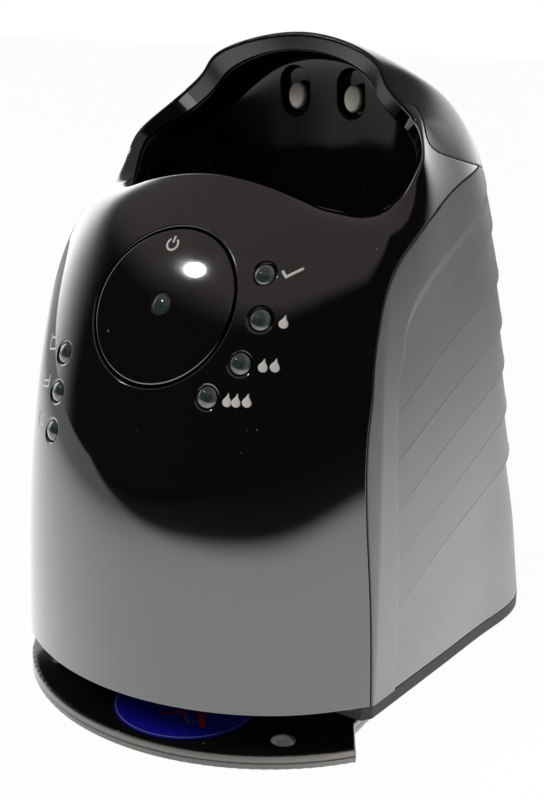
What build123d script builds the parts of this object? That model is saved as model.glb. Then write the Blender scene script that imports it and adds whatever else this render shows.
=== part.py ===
from build123d import *
import math
import os

# Cleaning and charging station for an electric shaver, without the shaver and without
# the cartridge. Millimetres, +Z up, the start button faces -Y, and the origin is at the
# bottom centre. The housing rises on two columns to free the cartridge bay in the base.

os.makedirs("parts", exist_ok=True)

# --------------------------------------------------------------------------------------
# Driving dimensions
# --------------------------------------------------------------------------------------

# Housing. Its outlines are measured from the centre of the front arc.
foot_z = 14.2           # lower edge of the housing
front_r = 60.3          # radius of the front arc
half_w = 51.9           # side panels, from the middle
corner_y = -30.7        # corner between the front arc and a side panel
rear_r = 25.0           # rear corners in plan
rear_cy = 38.5          # centre of the rear corners
back_y = 66.0           # back of the housing
centre_y = (front_r - back_y) / 2  # the front arc's centre, so that the origin is in the middle
crown_z = 160.0         # the closed form that the well is cut from ends here
wall = 2.4
liner_wall = 1.8

# Clearances
fit_gap = 0.3           # between pieces that are laid in, and round moving ones
running = 0.05          # radial, for stems and shafts

# Base
feet_drop = 0.5         # the feet stand out of the cover by this much
seam_z = 2.0            # seam between the base's tray and its cover
tray_top = 4.1
tray_round = 0.9
cover_round = 0.6
base_inset = 0.6        # base inside the housing's front arc
base_arc = 55.9         # the base's front arc runs this many degrees to each side
base_waist = (half_w - 9.0, centre_y + corner_y + 7.3)
base_back = centre_y + 62.0
rail_w = 2.0
rail_h = 5.4
rail_length = 60.0
rail_y = centre_y + 10.0
rail_x = half_w - 10.9
foot_r = 5.0
foot_h = 1.2
feet_front = (33.0, centre_y - 27.0)
feet_rear = (30.0, centre_y + 44.0)
feet_at = [(side * x, y) for x, y in (feet_front, feet_rear) for side in (1, -1)]
drain_hole_r = 2.9
drain_hole_y = centre_y - front_r + 20.2
drain_holes_at = [(34.1, drain_hole_y), (-34.1, drain_hole_y)]

# Lift
column_x = 28.0
column_y = centre_y + 38.0
column_r = 4.0
column_top = 98.0
sleeve_r = 6.5
lift_travel = 40.0
washer_t = 1.0
spring_wire = 0.6

# Bottom frame and chassis
frame_h = 3.1
frame_inset = 0.4
frame_w = 5.6
rib_h = 3.8
rib_lean = 0.9          # room for the walls to lean in over the rib
post_r = 3.0
post_x = half_w - 8.2
post_front_y = centre_y - 16.0
post_rear_y = centre_y + 28.0
posts_at = [(x, y) for x in (post_x, -post_x) for y in (post_front_y, post_rear_y)]
chassis_z = 50.0
chassis_t = 3.0
screw_r = 1.5
head_r = 3.0
head_h = 2.0

# Well and basin
well_floor = 80.0
basin_at = (0.0, centre_y + 2.0)
basin_rx = 0.48 * half_w
basin_ry = 17.0
basin_taper = 4.0       # how much narrower each half axis is at the basin's bottom
basin_wall = 2.0
basin_foot_h = 4.0
seal_t = 0.8
drain_r = 4.0
drain_bore_r = 2.5
drain_end = 42.0
coil_r = 10.5
coil_core_r = 5.0
coil_h = 3.4

# Pump
pump_at = (half_w - 16.4, centre_y + 5.0)
pump_r = 9.8
pump_wall = 1.6
pump_h = 11.0
motor_r = 8.0
motor_h = 12.0
flange_t = 1.5
shaft_r = 1.5
pipe_r = 2.0
pipe_bore_r = 1.2
suction_end = 36.0

# Boards
board_t = 1.6
main_board_w = 40.0
main_board_y = centre_y + 38.0
main_board_h = 45.0
panel_depth = 14.0      # the indicator board's face behind the button's centre
panel_w = 58.0

# Start button, measured in its own plane
button_rise = 0.7635    # its centre, as a share of the front's height
button_tilt = 26.0      # its axis above the horizontal
button_r = 18.3
groove = 0.7            # ring gap between the button and the shell
button_t = 3.0
button_travel = 1.5
skirt_depth = 6.2
skirt_t = 1.3
stem_r = 3.0
guide_depth = 8.0
guide_t = 1.5
window_r = 2.25         # round clear window in the middle of the button
window_depth = 3.6
switch_w = 6.0
switch_h = 2.4

# Lights, in the button's plane
light_r = 2.3
light_ring = 0.25       # gap between a light and the shell
status_orbit = 25.3
status_angles = [25.0, 1.7, -21.7, -45.0]
level_x = -25.7
level_top = -14.6
level_pitch = 9.0
level_count = 3

# Contacts in the hood
contact_x = 8.2
contact_y = centre_y + 21.3
contact_z = 142.7
contact_head_r = 3.2
contact_head_t = 2.2
contact_stem_r = 2.0
block_w = 32.0
block_face = centre_y + 24.8
block_depth = 9.0
block_h = 13.0

# Lift button and its catch
lift_w = 26.0
lift_h = 16.0
lift_z = 64.0
lift_proud = 1.0
lift_travel_in = 3.0
hook_w = 10.0
hook_t = 2.5
hook_y = centre_y + 46.5           # the hook's rear face
hook_foot = 36.0
hook_tooth = 0.6
hook_tooth_h = 3.6
catch_t = 3.0
catch_lip = 2.5
catch_clear = 0.4
catch_top = 44.0

# Power inlet
inlet_w = 18.0
inlet_h = 10.0
inlet_z = 24.0
inlet_depth = 12.0
inlet_wall = 1.8
inlet_pin_r = 1.2
inlet_pin_pitch = 7.0

# Printed sheet on the base's floor
label_t = 0.3
label_r = 57.0
label_inner_r = 45.0
label_from = -81.0
label_to = -108.0

# --------------------------------------------------------------------------------------
# The housing's skin: each station runs from a foot point up to a point on the rim
# --------------------------------------------------------------------------------------


def front_point(azimuth):
    """Foot point on the front arc, azimuth in degrees from the middle."""
    a = math.radians(azimuth)
    return (front_r * math.sin(a), -front_r * math.cos(a))


def rear_point(turn):
    """Foot point on the right rear corner, turn in degrees from the side."""
    a = math.radians(turn)
    return (half_w - rear_r + rear_r * math.cos(a), rear_cy + rear_r * math.sin(a))


front_azimuths = (0, 20, 42)
corner = len(front_azimuths)  # the station on the sharp edge beside the side panel

# foot point, its outward normal, rim point, its outward normal, lean (share, start, end)
stations = [
    (front_point(front_azimuths[0]), (0, -1), (0, -22.8, 127.5), (0, -0.66, 0.75), (0, 2.7, 1.0)),
    (front_point(front_azimuths[1]), (0.34, -0.94), (17.5, -22.2, 125.1), (0.2, -0.6, 0.77), (0.02, 2.9, 1.15)),
    (front_point(front_azimuths[2]), (0.67, -0.74), (27, -19, 122.3), (0.35, -0.45, 0.82), (0.02, 2.7, 1.8)),
    ((half_w, corner_y), (1, -0.6), (34, -12.8, 121.1), (0.4, -0.3, 0.87), (0.03, 2.5, 2.7)),
    ((half_w, -20), (1, 0), (38.3, -8, 123.3), (0.8, -0.3, 0.5), (0.02, 2.9, 1.9)),
    ((half_w, -8), (1, 0), (40.9, -4.2, 129), (0.97, -0.1, 0.2), (0, 3.2, 1.2)),
    ((half_w, 8), (1, 0), (40.8, -0.5, 134.2), (0.97, 0, 0.25), (0, 3.4, 1.0)),
    ((half_w, 26), (1, 0), (36.6, 4.3, 139.6), (0.8, 0, 0.6), (0.2, 6, 1.1)),
    (rear_point(20), (0.94, 0.34), (31.3, 5.8, 143.8), (0.75, 0, 0.66), (0.43, 9, 2.0)),
    (rear_point(50), (0.64, 0.77), (26.5, 6.2, 148.4), (0.85, 0, 0.5), (0.43, 9, 2.8)),
    (rear_point(75), (0.26, 0.97), (24, 6.6, 152), (0.7, 0, 0.7), (0.4, 6, 2.5)),
    ((16, back_y - 1.3), (0, 1), (14, 8.6, 156.6), (0.2, 0.1, 0.97), (0.2, 3.6, 2.15)),
    ((0, back_y), (0, 1), (0, 9.8, 158.6), (0, 0.1, 0.99), (0.2, 3.6, 2.15)),
]
skin_levels = (0, 0.25, 0.45, 0.6, 0.72, 0.82, 0.9, 0.96, 1.0)
crown_y = centre_y - 3.0  # the closed form's peak
crown_rings = ((0.6, 0.55), (0.25, 1.0))


def skin_point(station, level, inset=0.0):
    """Point of a station at a level from 0 at the foot to 1 at the rim."""
    (fx, fy), (fnx, fny), (rx, ry, rz), (rnx, rny, rnz), (share, start, end) = station
    fx = fx - fnx * inset
    fy = fy - fny * inset
    rx = rx - rnx * inset
    ry = ry - rny * inset
    rz = rz - rnz * inset
    lean = share * level + (1 - share) * (1 - (1 - level**start) ** (1 / end))
    x = fx + (rx - fx) * lean
    y = fy + (ry - fy) * lean
    return (x, centre_y + y, foot_z + (rz - foot_z) * level)


def ring(points):
    """Closed wire through one half's points and their mirror images, sharp at the corner."""
    mirrored = [(-x, y, z) for x, y, z in points]
    with BuildLine() as line:
        Spline(*(mirrored[corner:0:-1] + points[: corner + 1]))
        Spline(*(points[corner:] + mirrored[-2 : corner - 1 : -1]))
    return line.wires()[0]


def closed_skin(inset, drop=0.0):
    """The housing's outer form moved inwards by inset, closed over the well.

    drop carries the foot further down, so that a cut with it leaves no floor.
    """
    wires = []
    if drop:
        foot = [skin_point(s, 0, inset) for s in stations]
        wires.append(ring([(x, y, foot_z - drop) for x, y, z in foot]))
    for level in skin_levels:
        wires.append(ring([skin_point(s, level, inset) for s in stations]))
    rim = [skin_point(s, 1.0, inset) for s in stations]
    top = crown_z - inset
    for shrink, rise in crown_rings:
        wires.append(
            ring([(x * shrink, crown_y + (y - crown_y) * shrink, z + (top - z) * rise) for x, y, z in rim])
        )
    return Solid.make_loft(wires, True)


# --------------------------------------------------------------------------------------
# The well: half outlines of its mouth, from the front round the side to the hood
# --------------------------------------------------------------------------------------

well_top = 200.0
well_slope = 0.577      # the well's mouth opens upwards and forwards
well_centre_y = 2.0
well_waist_z = 100.0
well_end_scale = (0.82, 0.86)
band = [
    (0, -21.9, 127.3), (17.2, -21.3, 125), (26.4, -18, 122.2), (33, -11.8, 121),
    (37, -6.5, 123), (38.8, -2.5, 128), (38, 1.5, 132.5), (33.5, 6, 136.5),
    (28, 7.5, 140), (23.5, 8, 144), (21, 9, 147.5), (12, 10, 152.3), (0, 10.3, 154.2),
]  # fmt: skip
throat = [
    (0, -20.5, 118), (16, -19.5, 117), (25, -16.5, 115), (31, -11, 114),
    (35, -6, 117), (36.5, -1.5, 122), (36, 5, 128), (31.5, 13, 133),
    (27, 18, 136.5), (22.5, 20, 140.5), (18.5, 21, 143.5), (10, 21.5, 148), (0, 22, 149.5),
]  # fmt: skip
waist = [
    (0, -18.5), (14, -18), (24, -15.5), (30, -10.5), (33, -5), (34, 0), (33.5, 6),
    (31, 13), (27, 18), (22, 20.5), (17, 21.8), (9, 22.6), (0, 23),
]  # fmt: skip


def well_space(grow=0.0):
    """The well's hollow from its floor to far above the rim, its walls moved out by grow."""

    def outward(x, y, z):
        radius = math.hypot(x, y - well_centre_y)
        x = x + grow * x / radius
        y = y + grow * (y - well_centre_y) / radius
        return (x, centre_y + y, z)

    rim = [station[2] for station in stations]
    mouth = [(x, y - well_slope * (well_top - z), well_top) for x, y, z in rim]
    end_x, end_y = well_end_scale
    levels = [
        mouth,
        rim,
        band,
        throat,
        [(x, y, well_waist_z) for x, y in waist],
        [(x * end_x, y * end_y, well_floor - grow) for x, y in waist],
    ]
    return Solid.make_loft([ring([outward(*p) for p in level]) for level in levels], True)


# --------------------------------------------------------------------------------------
# Seams, in the side view: (Y, Z) from the foot to the panel's tip, then up to the hood
# --------------------------------------------------------------------------------------

seam_low = [
    (-31.3, foot_z), (-31.9, 40), (-30.7, 78.3), (-29.4, 85), (-27.7, 93.6), (-25.6, 99.5),
    (-21.8, 106.3), (-13.6, 113.2), (-5.2, 118.2), (7.7, 124.2), (18.3, 127.3), (26.3, 128.9),
]  # fmt: skip
seam_high = [(26.3, 128.9), (12, 132), (4.5, 136), (7.5, 141), (8.5, 150), (11, 162)]
panel_rear = (back_y + 4.0, 118.0)
seam_low = [(centre_y + y, z) for y, z in seam_low]
seam_high = [(centre_y + y, z) for y, z in seam_high]
panel_x = half_w - 24.9   # the side panels end this far from the middle at the back
reach = half_w + 5.0    # past the housing's side
below = foot_z - 6.0    # past its foot


def front_region():
    """Everything in front of the seams, in the side view."""
    with BuildSketch(Plane.YZ) as face:
        with BuildLine():
            Spline(*seam_low)
            Spline(*seam_high)
            Polyline(
                seam_high[-1],
                (seam_high[-1][0], well_top),
                (centre_y - front_r - 5, well_top),
                (centre_y - front_r - 5, below),
                (seam_low[0][0], below),
                seam_low[0],
            )
        make_face()
    return face.sketch


def panel_region():
    """A side panel's outline in the side view."""
    with BuildSketch(Plane.YZ.offset(panel_x)) as face:
        with BuildLine():
            Spline(*seam_low)
            Polyline(
                seam_low[-1],
                (centre_y + panel_rear[0], panel_rear[1]),
                (centre_y + panel_rear[0], below),
                (seam_low[0][0], below),
                seam_low[0],
            )
        make_face()
    return face.sketch


outer_skin = closed_skin(0)
inner_skin = closed_skin(wall, foot_z)
laid_in = closed_skin(wall + fit_gap, foot_z)
front_prism = extrude(front_region(), amount=reach, both=True)
right_prism = extrude(panel_region(), amount=reach - panel_x)
left_prism = mirror(right_prism, about=Plane.YZ)
housing_wall = (outer_skin - inner_skin) - well_space()

# The start button's plane: its origin lies on the skin, Z points outwards
button_at = skin_point(stations[0], button_rise)
tilt = math.radians(button_tilt)
button_plane = Plane(origin=button_at, x_dir=(1, 0, 0), z_dir=(0, -math.cos(tilt), math.sin(tilt)))
front_reach = 15.0      # past the skin in front of the button's plane

status_at = []
for angle in status_angles:
    a = math.radians(angle)
    status_at.append((status_orbit * math.cos(a), status_orbit * math.sin(a)))
level_at = [(level_x, level_top - level_pitch * n) for n in range(level_count)]

# --------------------------------------------------------------------------------------
# Base
# --------------------------------------------------------------------------------------


def base_outline(edge_r):
    """Plan of the base: front arc, slanted corners, straight sides and rounded back."""
    wx, wy = base_waist
    cx = edge_r * math.sin(math.radians(base_arc))
    cy = centre_y - edge_r * math.cos(math.radians(base_arc))
    side_x = rail_x + rail_w / 2
    with BuildSketch() as face:
        with BuildLine():
            ThreePointArc((-cx, cy), (0, centre_y - edge_r), (cx, cy))
            Polyline((cx, cy), (wx, wy), (side_x, wy + 8), (side_x, base_back - 20))
            RadiusArc((side_x, base_back - 20), (side_x - 20, base_back), -20)
            Line((side_x - 20, base_back), (20 - side_x, base_back))
            RadiusArc((20 - side_x, base_back), (-side_x, base_back - 20), -20)
            Polyline((-side_x, base_back - 20), (-side_x, wy + 8), (-wx, wy), (-cx, cy))
        make_face()
    return face.sketch


base_r = front_r - base_inset
column_at = [(column_x, column_y), (-column_x, column_y)]
boss_r = column_r + 3.5
boss_h = 3.0
base_screw_at = [(20.0, centre_y - 20.0), (-20.0, centre_y - 20.0), (0.0, centre_y + 33.0)]
catch_y = hook_y + hook_tooth + catch_clear  # the tip of the catch's lip
rest_x = 22.0
rest_w = 10.0

with BuildPart() as base_tray:
    with BuildSketch(Plane.XY.offset(seam_z)):
        add(base_outline(base_r))
    extrude(amount=tray_top - seam_z)
    fillet(base_tray.edges().group_by(Axis.Z)[-1], tray_round)
    with BuildSketch(Plane.XY.offset(tray_top)):
        with Locations((rail_x, rail_y), (-rail_x, rail_y)):
            Rectangle(rail_w, rail_length)
    extrude(amount=rail_h)
    with BuildSketch(Plane.XY.offset(tray_top)):
        with Locations(*column_at):
            Circle(boss_r)
    extrude(amount=boss_h)
    with BuildSketch(Plane.XY.offset(tray_top)):
        with Locations((0, catch_y + catch_lip + catch_t / 2)):
            Rectangle(hook_w, catch_t)
    extrude(amount=catch_top - tray_top)
    with BuildSketch(Plane.XY.offset(catch_top - 4.0)):
        with Locations((0, catch_y + catch_lip / 2)):
            Rectangle(hook_w, catch_lip)
    extrude(amount=4.0)
    with BuildSketch(Plane.XY.offset(tray_top)):
        with Locations((rest_x, base_back - 1), (-rest_x, base_back - 1)):
            Rectangle(rest_w, 2)
    extrude(amount=foot_z - frame_h - fit_gap - tray_top)
    with Locations(*[(x, y, tray_top) for x, y in drain_holes_at]):
        Hole(drain_hole_r)
    with Locations(*[(x, y, tray_top + boss_h) for x, y in column_at]):
        Hole(column_r, depth=boss_h)
    with Locations(*[(x, y, seam_z) for x, y in base_screw_at]):
        Cylinder(screw_r, tray_top - seam_z, align=(Align.CENTER, Align.CENTER, Align.MIN), mode=Mode.SUBTRACT)
base_tray.part.label = "base_tray"
export_step(base_tray.part, "parts/base_tray.step")

with BuildPart() as base_cover:
    with BuildSketch(Plane.XY.offset(feet_drop)):
        add(base_outline(base_r))
    extrude(amount=seam_z - feet_drop)
    fillet(base_cover.edges().group_by(Axis.Z)[0], cover_round)
    with Locations(*[(x, y, seam_z) for x, y in drain_holes_at]):
        Hole(drain_hole_r)
    with Locations(*[(x, y, feet_drop) for x, y in feet_at]):
        Cylinder(foot_r, foot_h - feet_drop, align=(Align.CENTER, Align.CENTER, Align.MIN), mode=Mode.SUBTRACT)
    with Locations(*[(x, y, seam_z) for x, y in base_screw_at]):
        Hole(screw_r)
    with Locations(*[(x, y, feet_drop) for x, y in base_screw_at]):
        Cylinder(
            head_r, (seam_z - feet_drop) / 2, align=(Align.CENTER, Align.CENTER, Align.MIN), mode=Mode.SUBTRACT
        )
base_cover.part.label = "base_cover"
export_step(base_cover.part, "parts/base_cover.step")

with BuildPart() as base_feet:
    with BuildSketch():
        with Locations(*feet_at):
            Circle(foot_r)
    extrude(amount=foot_h)
base_feet.part.label = "base_feet"
export_step(base_feet.part, "parts/base_feet.step")

with BuildPart() as base_screws:
    with BuildSketch(Plane.XY.offset(feet_drop)):
        with Locations(*base_screw_at):
            Circle(head_r)
    extrude(amount=(seam_z - feet_drop) / 2)
    with BuildSketch(Plane.XY.offset(feet_drop)):
        with Locations(*base_screw_at):
            Circle(screw_r)
    extrude(amount=tray_top - feet_drop)
base_screws.part.label = "base_screws"
export_step(base_screws.part, "parts/base_screws.step")

with BuildPart() as guide_columns:
    with BuildSketch(Plane.XY.offset(tray_top)):
        with Locations(*column_at):
            Circle(column_r)
    extrude(amount=column_top - tray_top)
    with Locations(*[(x, y, column_top) for x, y in column_at]):
        Hole(screw_r, depth=10)
guide_columns.part.label = "guide_columns"
export_step(guide_columns.part, "parts/guide_columns.step")

with BuildPart() as stop_washers:
    with BuildSketch(Plane.XY.offset(column_top)):
        with Locations(*column_at):
            Circle(sleeve_r)
            Circle(screw_r, mode=Mode.SUBTRACT)
    extrude(amount=washer_t)
stop_washers.part.label = "stop_washers"
export_step(stop_washers.part, "parts/stop_washers.step")

with BuildPart() as column_screws:
    with BuildSketch(Plane.XY.offset(column_top + washer_t)):
        with Locations(*column_at):
            Circle(head_r)
    extrude(amount=head_h)
    with BuildSketch(Plane.XY.offset(column_top - 10)):
        with Locations(*column_at):
            Circle(screw_r)
    extrude(amount=10 + washer_t)
column_screws.part.label = "column_screws"
export_step(column_screws.part, "parts/column_screws.step")

sleeve_top = column_top - lift_travel - fit_gap
sleeve_low = chassis_z - 4.0
spring_low = tray_top + boss_h + spring_wire
spring_high = sleeve_low - spring_wire
spring_length = spring_high - spring_low
spring_turns = 9
spring_r = column_r + 1.5

with BuildPart() as lift_springs:
    for x, y in column_at:
        with BuildLine(Plane((x, y, spring_low))) as coil:
            Helix(spring_length / spring_turns, spring_length, spring_r)
        with BuildSketch(Plane(origin=coil.line @ 0, z_dir=coil.line % 0)):
            Circle(spring_wire)
        sweep(path=coil.line, is_frenet=True)
lift_springs.part.label = "lift_springs"
export_step(lift_springs.part, "parts/lift_springs.step")

with BuildPart() as floor_label:
    with BuildSketch(Plane.XY.offset(tray_top)):
        with BuildLine():
            start = math.radians(label_from)
            end = math.radians(label_to)
            middle = (start + end) / 2
            tip_a = (label_r * math.cos(start), centre_y + label_r * math.sin(start))
            tip_b = (label_r * math.cos(end), centre_y + label_r * math.sin(end))
            ThreePointArc(tip_a, (label_r * math.cos(middle), centre_y + label_r * math.sin(middle)), tip_b)
            ThreePointArc(
                tip_b, (label_inner_r * math.cos(middle), centre_y + label_inner_r * math.sin(middle)), tip_a
            )
        make_face()
    extrude(amount=label_t)
floor_label.part.label = "floor_label"
export_step(floor_label.part, "parts/floor_label.step")

# --------------------------------------------------------------------------------------
# Housing shells
# --------------------------------------------------------------------------------------

button_hole_r = button_r + groove
light_hole_r = light_r + light_ring

with BuildPart() as front_shell:
    add(housing_wall)
    add(front_prism, mode=Mode.INTERSECT)
    with BuildSketch(button_plane.offset(-panel_depth)):
        Circle(button_hole_r)
        with Locations(*(status_at + level_at)):
            Circle(light_hole_r)
    extrude(amount=panel_depth + front_reach, mode=Mode.SUBTRACT)
front_shell.part.label = "front_shell"
export_step(front_shell.part, "parts/front_shell.step")

with BuildPart() as side_panel_right:
    add(housing_wall)
    add(right_prism, mode=Mode.INTERSECT)
side_panel_right.part.label = "side_panel_right"
export_step(side_panel_right.part, "parts/side_panel_right.step")

with BuildPart() as side_panel_left:
    add(housing_wall)
    add(left_prism, mode=Mode.INTERSECT)
side_panel_left.part.label = "side_panel_left"
export_step(side_panel_left.part, "parts/side_panel_left.step")

lift_back = skin_point(stations[-1], (lift_z - foot_z) / (stations[-1][2][2] - foot_z))[1]

with BuildPart() as rear_cover:
    add(housing_wall)
    add(front_prism, mode=Mode.SUBTRACT)
    add(right_prism, mode=Mode.SUBTRACT)
    add(left_prism, mode=Mode.SUBTRACT)
    with BuildSketch(Plane.XZ.offset(-centre_y - back_y - 5)):
        with Locations((0, lift_z)):
            Rectangle(lift_w + 2 * fit_gap, lift_h + 2 * fit_gap)
        with Locations((0, inlet_z)):
            Rectangle(inlet_w, inlet_h)
    extrude(amount=25, mode=Mode.SUBTRACT)
rear_cover.part.label = "rear_cover"
export_step(rear_cover.part, "parts/rear_cover.step")

with BuildPart() as well_liner:
    add(well_space(liner_wall))
    add(well_space(), mode=Mode.SUBTRACT)
    add(inner_skin, mode=Mode.INTERSECT)
    with BuildSketch(Plane.XY.offset(well_floor - liner_wall - 1)):
        with Locations(basin_at):
            Ellipse(basin_rx - basin_wall, basin_ry - basin_wall)
    extrude(amount=liner_wall + 2, mode=Mode.SUBTRACT)
    with BuildSketch(Plane.XZ.offset(-contact_y + 5)):
        with Locations((contact_x, contact_z), (-contact_x, contact_z)):
            Circle(contact_head_r + fit_gap)
    extrude(amount=-10, mode=Mode.SUBTRACT)
well_liner.part.label = "well_liner"
export_step(well_liner.part, "parts/well_liner.step")


def foot_face(inset):
    """Plan of the housing's foot, moved inwards by inset."""
    with BuildSketch() as face:
        add(make_face(Face(ring([(*skin_point(s, 0, inset)[:2], 0) for s in stations])).edges()))
    return face.sketch


frame_low = foot_z - frame_h

with BuildPart() as bottom_frame:
    with BuildSketch(Plane.XY.offset(frame_low)):
        add(foot_face(frame_inset))
        add(foot_face(frame_inset + frame_w), mode=Mode.SUBTRACT)
    extrude(amount=frame_h)
    with BuildSketch(Plane.XY.offset(foot_z)):
        add(foot_face(wall + fit_gap + rib_lean))
        add(foot_face(frame_inset + frame_w), mode=Mode.SUBTRACT)
    extrude(amount=rib_h)
    with Locations((0, centre_y + corner_y - 2.3 - 20, foot_z)):
        Box(2 * reach, 40, 4 * frame_h, mode=Mode.SUBTRACT)
    with BuildSketch(Plane.XY.offset(frame_low)):
        with Locations(*posts_at):
            Circle(post_r)
    extrude(amount=chassis_z - frame_low)
    with Locations(*[(x, y, chassis_z) for x, y in posts_at]):
        Hole(screw_r, depth=10)
bottom_frame.part.label = "bottom_frame"
export_step(bottom_frame.part, "parts/bottom_frame.step")

# --------------------------------------------------------------------------------------
# Chassis and the wet parts
# --------------------------------------------------------------------------------------

chassis_top = chassis_z + chassis_t
slot_gap = lift_travel_in + fit_gap

with BuildPart() as chassis:
    with BuildSketch(Plane.XY.offset(chassis_z)):
        Rectangle(2 * reach, 4 * reach)
    extrude(amount=chassis_t)
    add(laid_in, mode=Mode.INTERSECT)
    with BuildSketch(Plane.XY.offset(chassis_z)):
        with Locations(*column_at):
            Circle(sleeve_r)
        with Locations(basin_at):
            Circle(drain_r)
        with Locations(pump_at):
            Circle(pipe_r)
        with Locations(*posts_at):
            Circle(screw_r)
        with Locations((0, hook_y - hook_t / 2 - slot_gap / 2 + fit_gap / 2)):
            Rectangle(hook_w + 2 * fit_gap, hook_t + slot_gap + fit_gap)
    extrude(amount=chassis_t, mode=Mode.SUBTRACT)
chassis.part.label = "chassis"
export_step(chassis.part, "parts/chassis.step")

with BuildPart() as chassis_screws:
    with BuildSketch(Plane.XY.offset(chassis_top)):
        with Locations(*posts_at):
            Circle(head_r)
    extrude(amount=head_h)
    with BuildSketch(Plane.XY.offset(chassis_z - 10)):
        with Locations(*posts_at):
            Circle(screw_r)
    extrude(amount=10 + chassis_t)
chassis_screws.part.label = "chassis_screws"
export_step(chassis_screws.part, "parts/chassis_screws.step")

with BuildPart() as guide_sleeves:
    with BuildSketch(Plane.XY.offset(sleeve_low)):
        with Locations(*column_at):
            Circle(sleeve_r)
            Circle(column_r + running, mode=Mode.SUBTRACT)
    extrude(amount=sleeve_top - sleeve_low)
guide_sleeves.part.label = "guide_sleeves"
export_step(guide_sleeves.part, "parts/guide_sleeves.step")

basin_low = chassis_top + basin_foot_h
basin_top = well_floor - liner_wall - seal_t
foot_rx = basin_rx - basin_taper - 1.0
foot_ry = basin_ry - basin_taper - 1.0
feed_y = (basin_at[1] + pump_at[1]) / 2
feed_z = basin_low + basin_wall + pipe_r + fit_gap

with BuildPart() as wash_basin:
    with BuildSketch(Plane.XY.offset(basin_low)):
        with Locations(basin_at):
            Ellipse(basin_rx - basin_taper, basin_ry - basin_taper)
    with BuildSketch(Plane.XY.offset(basin_top)):
        with Locations(basin_at):
            Ellipse(basin_rx, basin_ry)
    loft()
    with BuildSketch(Plane.XY.offset(basin_low + basin_wall)):
        with Locations(basin_at):
            Ellipse(basin_rx - basin_taper - basin_wall, basin_ry - basin_taper - basin_wall)
    with BuildSketch(Plane.XY.offset(basin_top)):
        with Locations(basin_at):
            Ellipse(basin_rx - basin_wall, basin_ry - basin_wall)
    loft(mode=Mode.SUBTRACT)
    with BuildSketch(Plane.XY.offset(chassis_top)):
        with Locations(basin_at):
            Ellipse(foot_rx, foot_ry)
            Ellipse(foot_rx - 1.0, foot_ry - 1.0, mode=Mode.SUBTRACT)
    extrude(amount=basin_foot_h)
    with Locations((*basin_at, basin_low)):
        Cylinder(drain_bore_r, 4 * basin_wall, mode=Mode.SUBTRACT)
    with BuildSketch(Plane.YZ.offset(basin_at[0])):
        with Locations((feed_y, feed_z)):
            Circle(pipe_r)
    extrude(amount=basin_rx, mode=Mode.SUBTRACT)
wash_basin.part.label = "wash_basin"
export_step(wash_basin.part, "parts/wash_basin.step")

with BuildPart() as well_seal:
    with BuildSketch(Plane.XY.offset(basin_top)):
        with Locations(basin_at):
            Ellipse(basin_rx, basin_ry)
            Ellipse(basin_rx - basin_wall, basin_ry - basin_wall, mode=Mode.SUBTRACT)
    extrude(amount=seal_t)
well_seal.part.label = "well_seal"
export_step(well_seal.part, "parts/well_seal.step")

with BuildPart() as drying_coil:
    with BuildSketch(Plane.XY.offset(chassis_top)):
        with Locations(basin_at):
            Circle(coil_r)
            Circle(coil_core_r, mode=Mode.SUBTRACT)
    extrude(amount=coil_h)
drying_coil.part.label = "drying_coil"
export_step(drying_coil.part, "parts/drying_coil.step")

with BuildPart() as drain_pipe:
    with BuildSketch(Plane.XY.offset(drain_end)):
        with Locations(basin_at):
            Circle(drain_r)
            Circle(drain_bore_r, mode=Mode.SUBTRACT)
    extrude(amount=basin_low - drain_end)
drain_pipe.part.label = "drain_pipe"
export_step(drain_pipe.part, "parts/drain_pipe.step")

pump_top = chassis_top + pump_h

with BuildPart() as pump_housing:
    with BuildSketch(Plane.XY.offset(chassis_top)):
        with Locations(pump_at):
            Circle(pump_r)
    extrude(amount=pump_h)
    with BuildSketch(Plane.XY.offset(chassis_top + pump_wall)):
        with Locations(pump_at):
            Circle(pump_r - pump_wall)
    extrude(amount=pump_h, mode=Mode.SUBTRACT)
    with Locations((*pump_at, chassis_top)):
        Cylinder(pipe_bore_r, 4 * pump_wall, mode=Mode.SUBTRACT)
    with BuildSketch(Plane.YZ.offset(pump_at[0] - pump_r - 1)):
        with Locations((feed_y, feed_z)):
            Circle(pipe_r)
    extrude(amount=pump_r, mode=Mode.SUBTRACT)
pump_housing.part.label = "pump_housing"
export_step(pump_housing.part, "parts/pump_housing.step")

shaft_top = pump_top + flange_t + 6.0

with BuildPart() as pump_motor:
    with BuildSketch(Plane.XY.offset(pump_top)):
        with Locations(pump_at):
            Circle(pump_r)
    extrude(amount=flange_t)
    with BuildSketch(Plane.XY.offset(pump_top + flange_t)):
        with Locations(pump_at):
            Circle(motor_r)
    extrude(amount=motor_h)
    with BuildSketch(Plane.XY.offset(pump_top)):
        with Locations(pump_at):
            Circle(shaft_r + running)
    extrude(amount=shaft_top + fit_gap - pump_top, mode=Mode.SUBTRACT)
pump_motor.part.label = "pump_motor"
export_step(pump_motor.part, "parts/pump_motor.step")

rotor_r = pump_r - pump_wall - 2 * fit_gap
rotor_low = chassis_top + pump_wall + fit_gap
blade_count = 6

with BuildPart() as pump_rotor:
    with BuildSketch(Plane.XY.offset(rotor_low)):
        with Locations(pump_at):
            Circle(rotor_r)
    extrude(amount=1.2)
    with BuildSketch(Plane.XY.offset(rotor_low)):
        with Locations(pump_at):
            Circle(2.6)
            with PolarLocations((rotor_r + 2.0) / 2, blade_count):
                Rectangle(rotor_r - 2.0, 1.0)
    extrude(amount=pump_top - fit_gap - rotor_low)
    with BuildSketch(Plane.XY.offset(rotor_low)):
        with Locations(pump_at):
            Circle(shaft_r)
    extrude(amount=shaft_top - rotor_low)
pump_rotor.part.label = "pump_rotor"
export_step(pump_rotor.part, "parts/pump_rotor.step")

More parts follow.
